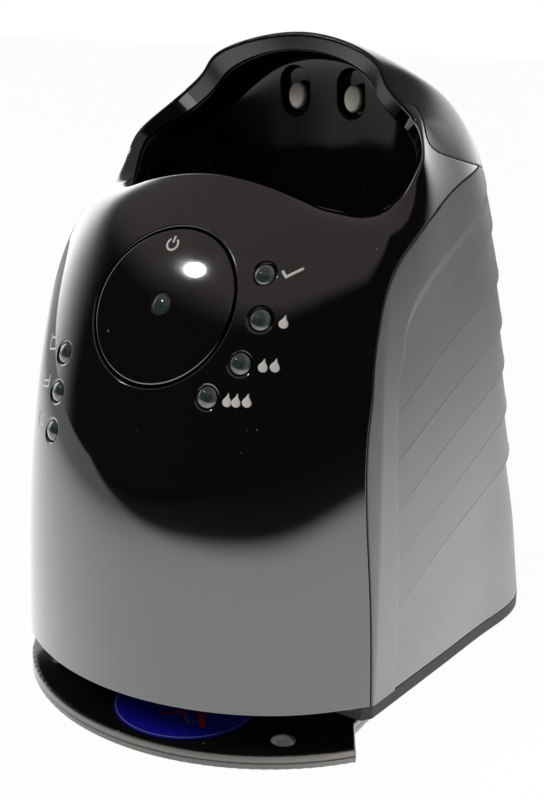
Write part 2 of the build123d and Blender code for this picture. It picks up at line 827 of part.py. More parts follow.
with BuildPart() as suction_pipe:
    with BuildSketch(Plane.XY.offset(suction_end)):
        with Locations(pump_at):
            Circle(pipe_r)
            Circle(pipe_bore_r, mode=Mode.SUBTRACT)
    extrude(amount=chassis_top - suction_end)
suction_pipe.part.label = "suction_pipe"
export_step(suction_pipe.part, "parts/suction_pipe.step")

feed_from = basin_at[0] + basin_rx - basin_taper - basin_wall
feed_to = pump_at[0] - pump_r + pump_wall

with BuildPart() as delivery_pipe:
    with BuildSketch(Plane.YZ.offset(feed_from)):
        with Locations((feed_y, feed_z)):
            Circle(pipe_r)
            Circle(pipe_bore_r, mode=Mode.SUBTRACT)
    extrude(amount=feed_to - feed_from)
delivery_pipe.part.label = "delivery_pipe"
export_step(delivery_pipe.part, "parts/delivery_pipe.step")

# --------------------------------------------------------------------------------------
# Boards, start button and lights
# --------------------------------------------------------------------------------------

with BuildPart() as main_board:
    with BuildSketch(Plane.XY.offset(chassis_top)):
        with Locations((0, main_board_y + board_t / 2)):
            Rectangle(main_board_w, board_t)
    extrude(amount=main_board_h)
main_board.part.label = "main_board"
export_step(main_board.part, "parts/main_board.step")

panel_low = level_at[-1][1] - light_r - 1.5
panel_high = status_at[0][1] + light_r - 1.0

with BuildPart() as indicator_board:
    with BuildSketch(button_plane.offset(-panel_depth)):
        with Locations((0, (panel_low + panel_high) / 2)):
            Rectangle(panel_w, panel_high - panel_low)
    extrude(amount=-board_t)
    add(laid_in, mode=Mode.INTERSECT)
indicator_board.part.label = "indicator_board"
export_step(indicator_board.part, "parts/indicator_board.step")

with BuildPart() as start_switch:
    with BuildSketch(button_plane.offset(-panel_depth)):
        Rectangle(switch_w, switch_w)
    extrude(amount=switch_h)
start_switch.part.label = "start_switch"
export_step(start_switch.part, "parts/start_switch.step")

guide_wall = 2.0
guide_leg_r = 1.5

with BuildPart() as button_guide:
    with BuildSketch(button_plane.offset(-guide_depth - guide_t)):
        Circle(button_hole_r + guide_wall)
    extrude(amount=guide_depth + guide_t + front_reach)
    add(inner_skin, mode=Mode.INTERSECT)
    with BuildSketch(button_plane.offset(-guide_depth)):
        Circle(button_hole_r)
    extrude(amount=guide_depth + front_reach, mode=Mode.SUBTRACT)
    with BuildSketch(button_plane.offset(-guide_depth - guide_t)):
        Circle(stem_r + running)
    extrude(amount=guide_t, mode=Mode.SUBTRACT)
    with BuildSketch(button_plane.offset(-panel_depth)):
        with PolarLocations(14.0, 3, start_angle=90):
            Circle(guide_leg_r)
    extrude(amount=panel_depth - guide_depth - guide_t)
button_guide.part.label = "button_guide"
export_step(button_guide.part, "parts/button_guide.step")

stem_end = panel_depth - switch_h - button_travel - fit_gap
button_inner = closed_skin(button_t, foot_z)

with BuildPart() as start_button:
    with BuildSketch(button_plane.offset(-skirt_depth)):
        Circle(button_r)
    extrude(amount=skirt_depth + front_reach)
    add(outer_skin, mode=Mode.INTERSECT)
    add(button_inner, mode=Mode.SUBTRACT)
    with BuildSketch(button_plane.offset(-skirt_depth)):
        Circle(button_r)
        Circle(button_r - skirt_t, mode=Mode.SUBTRACT)
    extrude(amount=skirt_depth - button_t + 0.5)
    with BuildSketch(button_plane.offset(-stem_end)):
        Circle(stem_r)
    extrude(amount=stem_end - button_t + 0.5)
    with BuildSketch(button_plane.offset(-window_depth)):
        Circle(window_r)
    extrude(amount=window_depth + front_reach, mode=Mode.SUBTRACT)
start_button.part.label = "start_button"
export_step(start_button.part, "parts/start_button.step")

with BuildPart() as button_window:
    with BuildSketch(button_plane.offset(-window_depth)):
        Circle(window_r)
    extrude(amount=window_depth + front_reach)
    add(outer_skin, mode=Mode.INTERSECT)
button_window.part.label = "button_window"
export_step(button_window.part, "parts/button_window.step")

with BuildPart() as button_spring:
    with BuildLine() as coil:
        Helix(
            pitch=1.5,
            height=guide_depth - button_t - 2 * spring_wire - fit_gap - 0.8,
            radius=stem_r + 1.8,
            center=button_plane.offset(-guide_depth + spring_wire).origin,
            direction=button_plane.z_dir,
        )
    with BuildSketch(Plane(origin=coil.line @ 0, z_dir=coil.line % 0)):
        Circle(spring_wire)
    sweep(path=coil.line, is_frenet=True)
button_spring.part.label = "button_spring"
export_step(button_spring.part, "parts/button_spring.step")


def light_pipes(places):
    """Round pipes from the indicator board to the skin, standing square to the board."""
    with BuildPart() as pipes:
        with BuildSketch(button_plane.offset(-panel_depth)):
            with Locations(*places):
                Circle(light_r)
        extrude(amount=panel_depth + front_reach)
        add(outer_skin, mode=Mode.INTERSECT)
    return pipes.part


with BuildPart() as status_lights:
    add(light_pipes(status_at))
status_lights.part.label = "status_lights"
export_step(status_lights.part, "parts/status_lights.step")

with BuildPart() as level_lights:
    add(light_pipes(level_at))
level_lights.part.label = "level_lights"
export_step(level_lights.part, "parts/level_lights.step")

# --------------------------------------------------------------------------------------
# Contacts
# --------------------------------------------------------------------------------------

with BuildPart() as contact_block:
    with BuildSketch(Plane.XZ.offset(-block_face)):
        with Locations((0, contact_z)):
            Rectangle(block_w, block_h)
    extrude(amount=-block_depth)
    add(laid_in, mode=Mode.INTERSECT)
    with BuildSketch(Plane.XZ.offset(-block_face)):
        with Locations((contact_x, contact_z), (-contact_x, contact_z)):
            Circle(contact_stem_r + running)
    extrude(amount=-block_depth, mode=Mode.SUBTRACT)
contact_block.part.label = "contact_block"
export_step(contact_block.part, "parts/contact_block.step")


def contact_pin(x):
    """A domed head on a stem that slides in the contact block."""
    with BuildPart() as pin:
        with BuildSketch(Plane.XZ.offset(-contact_y)):
            with Locations((x, contact_z)):
                Circle(contact_head_r)
        extrude(amount=-contact_head_t)
        fillet(pin.edges().sort_by(Axis.Y)[0], 0.9)
        with BuildSketch(Plane.XZ.offset(-contact_y)):
            with Locations((x, contact_z)):
                Circle(contact_stem_r)
        extrude(amount=-(block_face - contact_y + 6.0))
    return pin.part


with BuildPart() as contact_pin_right:
    add(contact_pin(contact_x))
contact_pin_right.part.label = "contact_pin_right"
export_step(contact_pin_right.part, "parts/contact_pin_right.step")

with BuildPart() as contact_pin_left:
    add(contact_pin(-contact_x))
contact_pin_left.part.label = "contact_pin_left"
export_step(contact_pin_left.part, "parts/contact_pin_left.step")

# --------------------------------------------------------------------------------------
# Lift button, hook and power inlet
# --------------------------------------------------------------------------------------

flange_y = lift_back - wall - 3.0   # rear face of the lift button's flange
lift_flange_t = 1.5

with BuildPart() as lift_button:
    with BuildSketch(Plane.XZ.offset(-flange_y)):
        with Locations((0, lift_z)):
            Rectangle(lift_w, lift_h)
    extrude(amount=-(lift_back + lift_proud - flange_y))
    fillet(lift_button.edges().group_by(Axis.Y)[-1], 0.8)
    with BuildSketch(Plane.XZ.offset(-flange_y)):
        with Locations((0, lift_z)):
            Rectangle(lift_w + 4, lift_h + 4)
    extrude(amount=lift_flange_t)
lift_button.part.label = "lift_button"
export_step(lift_button.part, "parts/lift_button.step")

with BuildPart() as latch_hook:
    with BuildSketch(Plane.YZ):
        with BuildLine():
            Polyline(
                (hook_y - hook_t, hook_foot),
                (hook_y + hook_tooth, hook_foot),
                (hook_y + hook_tooth, hook_foot + hook_tooth_h),
                (hook_y, hook_foot + hook_tooth_h),
                (hook_y, lift_z - 2.5),
                (flange_y - lift_flange_t - fit_gap, lift_z - 2.5),
                (flange_y - lift_flange_t - fit_gap, lift_z + 2.5),
                (hook_y - hook_t, lift_z + 2.5),
                close=True,
            )
        make_face()
    extrude(amount=hook_w / 2, both=True)
latch_hook.part.label = "latch_hook"
export_step(latch_hook.part, "parts/latch_hook.step")

inlet_back = centre_y + back_y - 0.9
socket_w = inlet_w - 2 * inlet_wall
socket_h = inlet_h - 2 * inlet_wall

with BuildPart() as power_inlet:
    with BuildSketch(Plane.XZ.offset(-inlet_back)):
        with Locations((0, inlet_z)):
            Rectangle(inlet_w, inlet_h)
    extrude(amount=inlet_depth)
    with BuildSketch(Plane.XZ.offset(-inlet_back)):
        with Locations((0, inlet_z)):
            Rectangle(socket_w, socket_h)
    extrude(amount=inlet_depth - inlet_wall, mode=Mode.SUBTRACT)
    with BuildSketch(Plane.XZ.offset(-inlet_back)):
        with Locations((inlet_pin_pitch / 2, inlet_z), (-inlet_pin_pitch / 2, inlet_z)):
            Circle(inlet_pin_r)
    extrude(amount=inlet_depth, mode=Mode.SUBTRACT)
power_inlet.part.label = "power_inlet"
export_step(power_inlet.part, "parts/power_inlet.step")

with BuildPart() as inlet_pins:
    with BuildSketch(Plane.XZ.offset(-inlet_back + inlet_depth)):
        with Locations((inlet_pin_pitch / 2, inlet_z), (-inlet_pin_pitch / 2, inlet_z)):
            Circle(inlet_pin_r)
    extrude(amount=-(inlet_depth - 2.0))
inlet_pins.part.label = "inlet_pins"
export_step(inlet_pins.part, "parts/inlet_pins.step")
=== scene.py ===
"""Cleaning and charging station for an electric shaver, dressed around its CAD frame."""

import math

import bpy
import numpy as np
from mathutils import Matrix, Vector
from mathutils.geometry import delaunay_2d_cdt
from mathutils.kdtree import KDTree


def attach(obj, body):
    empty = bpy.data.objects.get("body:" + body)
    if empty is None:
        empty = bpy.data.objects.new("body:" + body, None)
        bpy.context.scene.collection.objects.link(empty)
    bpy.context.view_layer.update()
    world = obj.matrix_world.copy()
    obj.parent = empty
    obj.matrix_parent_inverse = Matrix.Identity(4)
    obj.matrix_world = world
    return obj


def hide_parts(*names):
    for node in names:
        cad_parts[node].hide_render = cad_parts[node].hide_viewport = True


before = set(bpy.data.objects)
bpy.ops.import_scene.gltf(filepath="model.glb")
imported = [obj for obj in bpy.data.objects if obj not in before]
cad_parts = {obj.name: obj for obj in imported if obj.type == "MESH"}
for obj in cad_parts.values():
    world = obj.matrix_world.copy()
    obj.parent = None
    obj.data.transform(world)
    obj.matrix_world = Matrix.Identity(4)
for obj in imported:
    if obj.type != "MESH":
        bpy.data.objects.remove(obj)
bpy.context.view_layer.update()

MM = 0.001
CENTRE_Y = -2.85  # the housing's outlines are measured from the centre of its front arc

BUTTON_TILT = math.radians(26.0)  # how far the start button faces up from level
BUTTON_AXIS = np.array([0.0, -math.cos(BUTTON_TILT), math.sin(BUTTON_TILT)])
BUTTON_UP = np.array([0.0, math.sin(BUTTON_TILT), math.cos(BUTTON_TILT)])

# ---------------------------------------------------------------------------
# Camera
# ---------------------------------------------------------------------------

CAMERA_AT = (191.7, -277.05, 165.5)
CAMERA_TURN = math.radians(34.5)
CAMERA_DOWN = math.radians(15.92)
CAMERA_ROLL = math.radians(1.3)
CAMERA_LENS = 63.0
BEFORE = (math.sin(CAMERA_TURN), -math.cos(CAMERA_TURN), 0)  # level direction to the front of the stage
BEHIND = (-math.sin(CAMERA_TURN), math.cos(CAMERA_TURN), 0)


def new_object(name, data):
    made = bpy.data.objects.new(name, data)
    bpy.context.collection.objects.link(made)
    return made


def make_camera():
    turn, down = CAMERA_TURN, CAMERA_DOWN
    look = Vector((-math.sin(turn) * math.cos(down), math.cos(turn) * math.cos(down), -math.sin(down)))
    side = Vector((math.cos(turn), math.sin(turn), 0))
    up = side.cross(look)
    c, s = math.cos(CAMERA_ROLL), math.sin(CAMERA_ROLL)
    side, up = side * c + up * s, up * c - side * s
    data = bpy.data.cameras.new("camera")
    data.lens = CAMERA_LENS
    data.sensor_width = 36.0
    data.clip_start = 0.01
    camera = new_object("camera", data)
    place = Matrix((side, up, -look)).transposed().to_4x4()
    place.translation = Vector(CAMERA_AT) * MM + Vector((0, CENTRE_Y * MM, 0))
    camera.matrix_world = place
    bpy.context.scene.camera = camera


# ---------------------------------------------------------------------------
# Nodes
# ---------------------------------------------------------------------------

SOFT = "SMOOTHSTEP"


def feed(tree, value, socket):
    """Gives a socket its value, or a link from another node's output."""
    if isinstance(value, bpy.types.NodeSocket):
        tree.links.new(value, socket)
    else:
        socket.default_value = value


def add_node(tree, kind, inputs=(), **settings):
    """A new node with its settings, and a value or a link for each of the inputs named."""
    made = tree.nodes.new(kind)
    for label, value in settings.items():
        setattr(made, label, value)
    for label, value in dict(inputs).items():
        feed(tree, value, made.inputs[label])
    return made


def new_group(name, inputs, outputs):
    """A shader node group of number sockets, with the sockets inside it."""
    group = bpy.data.node_groups.new(name, "ShaderNodeTree")
    for label, value in inputs.items():
        socket = group.interface.new_socket(label, in_out="INPUT", socket_type="NodeSocketFloat")
        socket.default_value = value
    for label in outputs:
        group.interface.new_socket(label, in_out="OUTPUT", socket_type="NodeSocketFloat")
    return group, group.nodes.new("NodeGroupInput").outputs, group.nodes.new("NodeGroupOutput").inputs


def object_place(tree):
    return add_node(tree, "ShaderNodeTexCoord").outputs["Object"]


def noise(tree, place, scale, detail=2.0, distortion=0.0):
    inputs = {"Vector": place, "Scale": scale, "Detail": detail, "Distortion": distortion}
    return add_node(tree, "ShaderNodeTexNoise", inputs).outputs["Fac"]


def ramp(tree, value, start, end, low=0.0, high=1.0, kind="LINEAR"):
    """The value, with its range from start to end carried to low and high and held beyond."""
    inputs = {"Value": value, "From Min": start, "From Max": end, "To Min": low, "To Max": high}
    return add_node(tree, "ShaderNodeMapRange", inputs, interpolation_type=kind).outputs["Result"]


def maths(tree, operation, *values):
    return add_node(tree, "ShaderNodeMath", enumerate(values), operation=operation).outputs["Value"]


def reach(tree, vector, direction):
    """How far a vector reaches in a direction."""
    inputs = {0: vector, 1: direction}
    return add_node(tree, "ShaderNodeVectorMath", inputs, operation="DOT_PRODUCT").outputs["Value"]


def mixed(tree, factor, low, high, blend="MIX"):
    """A colour between two, each a colour or a link."""
    sides = [side if isinstance(side, bpy.types.NodeSocket) else (*side, 1) for side in (low, high)]
    inputs = {"Factor": factor, "A": sides[0], "B": sides[1]}
    return add_node(tree, "ShaderNodeMix", inputs, data_type="RGBA", blend_type=blend).outputs["Result"]


# ---------------------------------------------------------------------------
# Materials
# ---------------------------------------------------------------------------


def moulded_grain():
    """Fine grain of moulded plastic: a height, and a mask of soft uneven patches."""
    group, given, out = new_group("moulded_grain", {"Scale": 900.0, "Patch": 30.0}, ("Height", "Patches"))
    place = object_place(group)
    feed(group, noise(group, place, given["Scale"], 3.0), out["Height"])
    feed(group, noise(group, place, given["Patch"]), out["Patches"])
    return group


def handling_marks():
    """Wiped smears and specks of dust on a glossy face, as two masks."""
    group, given, out = new_group("handling_marks", {"Dust": 0.5}, ("Smears", "Specks"))
    place = object_place(group)
    cells = add_node(group, "ShaderNodeTexVoronoi", {"Vector": place, "Scale": 260.0}).outputs["Distance"]
    chosen = ramp(group, noise(group, place, 95.0), 0.62, 0.66)
    specks = maths(group, "MULTIPLY", ramp(group, cells, 0.075, 0.045), chosen)
    feed(group, ramp(group, noise(group, place, 38.0, 5.0, 1.2), 0.48, 0.8), out["Smears"])
    feed(group, maths(group, "MULTIPLY", specks, given["Dust"]), out["Specks"])
    return group


GRAIN = moulded_grain()
MARKS = handling_marks()
DUST_COLOUR = (0.42, 0.41, 0.4)
SMEAR_ROUGHNESS = 0.05
GRAIN_HEIGHT = 0.0002
DARKER = 0.86  # share of a finish's colour that its darker patches keep


def finish_material(
    name, colour, darker=None, rough=(0.3, 0.4), metal=0.0, ior=1.5, grain=900.0, patch=30.0, bump=0.02,
    coat=0.0, coat_ior=1.5, coat_rough=0.03, dust=None,
):  # fmt: skip
    """A moulded, printed or metal finish: its colour and roughness vary, and it has a fine grain."""
    material = bpy.data.materials.new(name)
    material.use_nodes = True
    tree = material.node_tree
    texture = add_node(tree, "ShaderNodeGroup", {"Scale": grain, "Patch": patch}, node_tree=GRAIN).outputs
    patches = texture["Patches"]
    base = mixed(tree, patches, darker or tuple(c * DARKER for c in colour), colour)
    roughness = ramp(tree, patches, 0.0, 1.0, *rough)
    if dust is not None:
        marks = add_node(tree, "ShaderNodeGroup", {"Dust": dust}, node_tree=MARKS).outputs
        base = mixed(tree, marks["Specks"], base, DUST_COLOUR)
        roughness = maths(tree, "MULTIPLY_ADD", marks["Smears"], SMEAR_ROUGHNESS, roughness)
    inputs = {"Strength": bump, "Distance": GRAIN_HEIGHT, "Height": texture["Height"]}
    normal = add_node(tree, "ShaderNodeBump", inputs).outputs["Normal"]
    values = {
        "Base Color": base, "Roughness": roughness, "Normal": normal, "Metallic": metal, "IOR": ior,
        "Coat Weight": coat, "Coat IOR": coat_ior, "Coat Roughness": coat_rough,
    }  # fmt: skip
    for label, value in values.items():
        feed(tree, value, tree.nodes["Principled BSDF"].inputs[label])
    return material


GLOSS_BLACK = finish_material(
    "gloss_black", (0.003, 0.0024, 0.0025), rough=(0.05, 0.08), ior=1.7, grain=400, patch=24, bump=0.0,
    coat=1.0, coat_ior=1.85, dust=0.5,
)  # fmt: skip
GLOSS_LINER = finish_material(
    "gloss_black_liner", (0.0042, 0.0034, 0.0034), rough=(0.08, 0.12), grain=400, patch=24, bump=0.0,
    dust=0.25,
)  # fmt: skip
SATIN_GREY = finish_material(
    "satin_grey", (0.21, 0.206, 0.203), (0.175, 0.171, 0.17), rough=(0.33, 0.41), ior=1.38, grain=2600,
    patch=14, bump=0.12,
)  # fmt: skip
HOOD_BLACK = finish_material(
    "hood_satin_black", (0.008, 0.007, 0.007), rough=(0.14, 0.2), ior=1.7, grain=2000, patch=16
)
MATTE_BLACK = finish_material("matte_black", (0.014, 0.013, 0.014), rough=(0.5, 0.62), grain=1800, bump=0.2)
BASE_GREY = finish_material(
    "base_grey", (0.24, 0.228, 0.21), (0.21, 0.2, 0.183), rough=(0.22, 0.3), grain=1500, bump=0.04
)
NATURAL = finish_material("natural_plastic", (0.62, 0.6, 0.55), rough=(0.4, 0.5), grain=1500, bump=0.08)
CONTACT_STEEL = finish_material(
    "contact_steel", (0.8, 0.74, 0.67), (0.74, 0.68, 0.6), rough=(0.3, 0.36), metal=0.45, grain=3000,
    bump=0.05,
)  # fmt: skip
STEEL = finish_material("steel", (0.62, 0.62, 0.63), rough=(0.25, 0.35), metal=1.0, grain=2500, bump=0.08)
RUBBER = finish_material("rubber", (0.02, 0.02, 0.021), rough=(0.7, 0.85), grain=2200, bump=0.3)
BOARD = finish_material("board", (0.02, 0.14, 0.06), rough=(0.35, 0.5), grain=1800, bump=0.1)
COPPER = finish_material("copper", (0.72, 0.33, 0.16), metal=1.0, grain=2600, bump=0.15)
CLEAR_PIPE = finish_material(
    "clear_pipe", (0.16, 0.175, 0.165), (0.12, 0.13, 0.125), rough=(0.06, 0.1), ior=1.49, bump=0.0
)
PRINT_BLUE = finish_material("print_blue", (0.008, 0.008, 0.32), rough=(0.25, 0.35), grain=1200)
PRINT_RED = finish_material("print_red", (0.4, 0.01, 0.012), grain=1200)
PRINT_GREY = finish_material("print_grey", (0.2, 0.21, 0.24), grain=1200)
PRINT_WHITE = finish_material("print_white", (0.74, 0.7, 0.66), rough=(0.35, 0.45), grain=1500)

LENS_PAINTED_GLOW = (0.55, -0.36, -0.75)  # the side of a lens towards which a brighter crescent is painted, as a painted highlight where light would gather
# a height in metres, where a band of the tray begins, a little lower, where it is full, and its colour: a
# pale band painted as a reflection on the rounded edge, and a darker band below it painted as shade
TRAY_PAINTED_BANDS = ((0.0039, 0.0036, (0.24, 0.228, 0.21)), (0.0025, 0.00235, (0.004, 0.004, 0.004)))


def lens_with_painted_glow():
    """Dark lens, coloured as a clear lens over a dark cup looks, with a painted highlight: its edge is
    painted brighter, most of it low on the right.
    """
    material = finish_material(
        "clear_lens_painted_glow", (0.03, 0.045, 0.039), rough=(0.04, 0.07), ior=1.6, bump=0.0, coat=1.0, coat_ior=1.6,
        coat_rough=0.02,
    )  # fmt: skip
    tree = material.node_tree
    colour = tree.nodes["Principled BSDF"].inputs["Base Color"]
    normal = add_node(tree, "ShaderNodeNewGeometry").outputs["Normal"]
    # painted highlight: the colour is painted brighter at the lens's edge and on its lower right side
    edge = ramp(tree, reach(tree, normal, tuple(BUTTON_AXIS)), 0.86, 0.7, 0.0, 0.25, SOFT)
    low = ramp(tree, reach(tree, normal, LENS_PAINTED_GLOW), 0.45, 0.9, 0.0, 0.75, SOFT)
    painted_glow = maths(tree, "MAXIMUM", edge, low)
    feed(tree, mixed(tree, painted_glow, colour.links[0].from_socket, (0.42, 0.44, 0.41)), colour)
    return material


def tray_with_painted_light():
    """Gloss black floor, with a painted reflection as a pale band on the rounded edge and painted shade as a
    darker band below it, told apart by height.
    """
    material = finish_material(
        "base_tray_painted_light", (0.006, 0.005, 0.005), rough=(0.1, 0.16), ior=1.55, grain=600, patch=20, bump=0.0,
        dust=0.4,
    )  # fmt: skip
    tree = material.node_tree
    colour = tree.nodes["Principled BSDF"].inputs["Base Color"]
    height = add_node(tree, "ShaderNodeSeparateXYZ", {"Vector": object_place(tree)}).outputs["Z"]
    shade = colour.links[0].from_socket
    # painted reflection and painted shade, laid on as colour bands by height
    for start, full, band in TRAY_PAINTED_BANDS:
        shade = mixed(tree, ramp(tree, height, start, full), shade, band)
    feed(tree, shade, colour)
    return material


PAINTED_GLOW_LENS = lens_with_painted_glow()
PAINTED_LIGHT_TRAY = tray_with_painted_light()

NODE_FINISH = {
    GLOSS_BLACK: ("front_shell", "start_button"),
    SATIN_GREY: ("side_panel_left", "side_panel_right", "rear_cover"),
    GLOSS_LINER: ("well_liner", "contact_block", "wash_basin"),
    MATTE_BLACK: (
        "bottom_frame", "chassis", "pump_housing", "button_guide", "power_inlet", "lift_button", "latch_hook",
        "start_switch",
    ),
    PAINTED_LIGHT_TRAY: ("base_tray",),
    BASE_GREY: ("base_cover",),
    RUBBER: ("base_feet", "well_seal", "suction_pipe", "delivery_pipe"),
    STEEL: (
        "base_screws", "guide_columns", "stop_washers", "column_screws", "lift_springs", "chassis_screws",
        "pump_motor", "button_spring", "inlet_pins",
    ),
    NATURAL: ("guide_sleeves", "drain_pipe", "pump_rotor"),
    COPPER: ("drying_coil",),
    BOARD: ("main_board", "indicator_board"),
    CLEAR_PIPE: ("status_lights", "level_lights", "button_window"),
    CONTACT_STEEL: ("contact_pin_left", "contact_pin_right"),
    PRINT_BLUE: ("floor_label",),
}  # fmt: skip


def finish_nodes():
    for material, names in NODE_FINISH.items():
        for name in names:
            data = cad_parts[name].data
            data.materials.clear()
            data.materials.append(material)


# ---------------------------------------------------------------------------
# Splines and the housing's outer skin
# ---------------------------------------------------------------------------


def unit(v):
    return v / np.maximum(np.linalg.norm(v, axis=1, keepdims=True), 1e-12)


def smooth(x):
    x = np.clip(x, 0, 1)
    return x * x * (3 - 2 * x)


def cubic_weights(knots, at):
    """Weight of each knot's value at the places in at, on a natural cubic spline."""
    n = len(knots)
    h = np.diff(knots)
    left = np.eye(n)
    right = np.zeros((n, n))
    for i in range(1, n - 1):
        left[i, i - 1 : i + 2] = h[i - 1], 2 * (h[i - 1] + h[i]), h[i]
        right[i, i - 1 : i + 2] = 6 / h[i - 1], -6 / h[i - 1] - 6 / h[i], 6 / h[i]
    bend = np.linalg.solve(left, right)
    i = np.clip(np.searchsorted(knots, at) - 1, 0, n - 2)
    ahead = (knots[i + 1] - at)[:, None]
    past = (at - knots[i])[:, None]
    w = h[i][:, None]
    own = np.eye(n)
    return (
        (bend[i] * ahead**3 + bend[i + 1] * past**3) / (6 * w)
        + (own[i] / w - bend[i] * w / 6) * ahead
        + (own[i + 1] / w - bend[i + 1] * w / 6) * past
    )


def hermite(values, slopes, i, step, f):
    """Cubic from row i of the values to the next, with the rows' slopes, at the share f between them."""
    return (
        values[i] * (1 + 2 * f) * (1 - f) ** 2
        + values[i + 1] * f * f * (3 - 2 * f)
        + slopes[i] * step * f * (1 - f) ** 2
        - slopes[i + 1] * step * f * f * (1 - f)
    )


def smooth_line(points, step):
    """Points along a cubic spline through the given ones, about step apart."""
    points = np.array(points, float)
    knots = np.concatenate([[0], np.cumsum(np.linalg.norm(np.diff(points, axis=0), axis=1))])
    return cubic_weights(knots, np.linspace(0, knots[-1], int(knots[-1] / step) + 2)) @ points


FOOT_Z = 14.2
FRONT_R = 60.3
HALF_W = 51.9
REAR_R = 25.0
REAR_CY = 38.5
BACK_Y = 66.0


def front_foot(azimuth):
    a = math.radians(azimuth)
    return FRONT_R * math.sin(a), -FRONT_R * math.cos(a)


def rear_foot(turn):
    a = math.radians(turn)
    return HALF_W - REAR_R + REAR_R * math.cos(a), REAR_CY + REAR_R * math.sin(a)


# from the front's middle round to the back's: foot x y, rim x y z, lean share, start and end
STATIONS = np.array(
    [
        (*front_foot(0), 0, -22.8, 127.5, 0, 2.7, 1.0),
        (*front_foot(20), 17.5, -22.2, 125.1, 0.02, 2.9, 1.15),
        (*front_foot(42), 27, -19, 122.3, 0.02, 2.7, 1.8),
        (HALF_W, -30.7, 34, -12.8, 121.1, 0.03, 2.5, 2.7),
        (HALF_W, -20, 38.3, -8, 123.3, 0.02, 2.9, 1.9),
        (HALF_W, -8, 40.9, -4.2, 129, 0, 3.2, 1.2),
        (HALF_W, 8, 40.8, -0.5, 134.2, 0, 3.4, 1.0),
        (HALF_W, 26, 36.6, 4.3, 139.6, 0.2, 6, 1.1),
        (*rear_foot(20), 31.3, 5.8, 143.8, 0.43, 9, 2.0),
        (*rear_foot(50), 26.5, 6.2, 148.4, 0.43, 9, 2.8),
        (*rear_foot(75), 24, 6.6, 152, 0.4, 6, 2.5),
        (16, BACK_Y - 1.3, 14, 8.6, 156.6, 0.2, 3.6, 2.15),
        (0, BACK_Y, 0, 9.8, 158.6, 0.2, 3.6, 2.15),
    ]
)
RIM_Z = STATIONS[:, 4]
# rings of the well, with a point at each station: the rim band's inner edge, the throat and the waist
BAND = np.array(
    [
        (0, -21.9, 127.3), (17.2, -21.3, 125), (26.4, -18, 122.2), (33, -11.8, 121), (37, -6.5, 123),
        (38.8, -2.5, 128), (38, 1.5, 132.5), (33.5, 6, 136.5), (28, 7.5, 140), (23.5, 8, 144),
        (21, 9, 147.5), (12, 10, 152.3), (0, 10.3, 154.2),
    ]
)  # fmt: skip
THROAT = np.array(
    [
        (0, -20.5, 118), (16, -19.5, 117), (25, -16.5, 115), (31, -11, 114), (35, -6, 117),
        (36.5, -1.5, 122), (36, 5, 128), (31.5, 13, 133), (27.5, 16.8, 138), (23, 18.4, 142.6),
        (18.8, 19.2, 146), (10.5, 19.9, 150.6), (0, 20.3, 152.2),
    ]
)  # fmt: skip
WAIST = np.array(
    [
        (0, -18.5, 100), (14, -18, 100), (24, -15.5, 100), (30, -10.5, 100), (33, -5, 100), (34, 0, 100),
        (33.5, 6, 100), (31, 13, 100), (27, 18, 100), (22, 20.5, 100), (17, 21.8, 100), (9, 22.6, 100),
        (0, 23, 100),
    ]
)  # fmt: skip

# distance of each station along the outline
ALONG = np.array([0, 21.05, 44.2, 62.5, 73.2, 85.2, 101.2, 119.2, 140.3, 153.2, 164.1, 181.6, 197.65])
CORNER = 3
CORNER_S = ALONG[CORNER]
HALF_ROUND = ALONG[-1]
TABLE_STEP = 0.1
PAST_SEAM = 12  # the table starts this far behind the back's middle


def plain_weights(s):
    """Station weights for even (y, z) and odd (x) values at distances s from 0 to HALF_ROUND."""
    even = np.zeros((len(s), len(ALONG)))
    odd = np.zeros_like(even)
    front = s <= CORNER_S
    knots = np.concatenate([-ALONG[CORNER:0:-1], ALONG[: CORNER + 1]])
    w = cubic_weights(knots, s[front])
    for i, knot in enumerate(range(-CORNER, CORNER + 1)):
        even[front, abs(knot)] += w[:, i]
        odd[front, abs(knot)] += np.sign(knot) * w[:, i]
    last = len(ALONG) - 1
    knots = np.concatenate([ALONG[CORNER:], 2 * HALF_ROUND - ALONG[-2 : CORNER - 1 : -1]])
    w = cubic_weights(knots, s[~front])
    for i in range(len(knots)):
        station, sign = CORNER + i, 1
        if station > last:
            station, sign = 2 * last - station, -1
        even[~front, station] += w[:, i]
        odd[~front, station] += (station != last) * sign * w[:, i]
    return even, odd


def round_table():
    """Weights and their running sums along the whole outline, front to back on both sides."""
    s = np.arange(-HALF_ROUND - PAST_SEAM, 2 * HALF_ROUND + TABLE_STEP, TABLE_STEP)
    turn = np.mod(s + HALF_ROUND, 2 * HALF_ROUND) - HALF_ROUND
    even, odd = plain_weights(np.abs(turn))
    odd *= np.where(turn < 0, -1.0, 1.0)[:, None]
    both = np.concatenate([even, odd], axis=1)
    total = np.zeros_like(both)
    total[1:] = np.cumsum((both[1:] + both[:-1]) / 2, axis=0) * TABLE_STEP
    slope = np.gradient(both, TABLE_STEP, axis=0)
    total[1:] -= (slope[1:] - slope[:1]) * TABLE_STEP**2 / 12
    return s[0], both, total


TABLE_START, TABLE_WEIGHTS, TABLE_SUMS = round_table()


def summed(s):
    """Running sum of the weights at s, as a cubic between the table's rows."""
    place = (s - TABLE_START) / TABLE_STEP
    i = np.clip(place.astype(int), 0, len(TABLE_SUMS) - 2)
    return hermite(TABLE_SUMS, TABLE_WEIGHTS, i, TABLE_STEP, (place - i)[:, None])


def weights(s, half_window):
    """Even and odd station weights at s, averaged over a window, which rounds the corner."""
    w = (summed(s + half_window) - summed(s - half_window)) / (2 * half_window)[:, None]
    n = len(ALONG)
    return w[:, :n], w[:, n:]


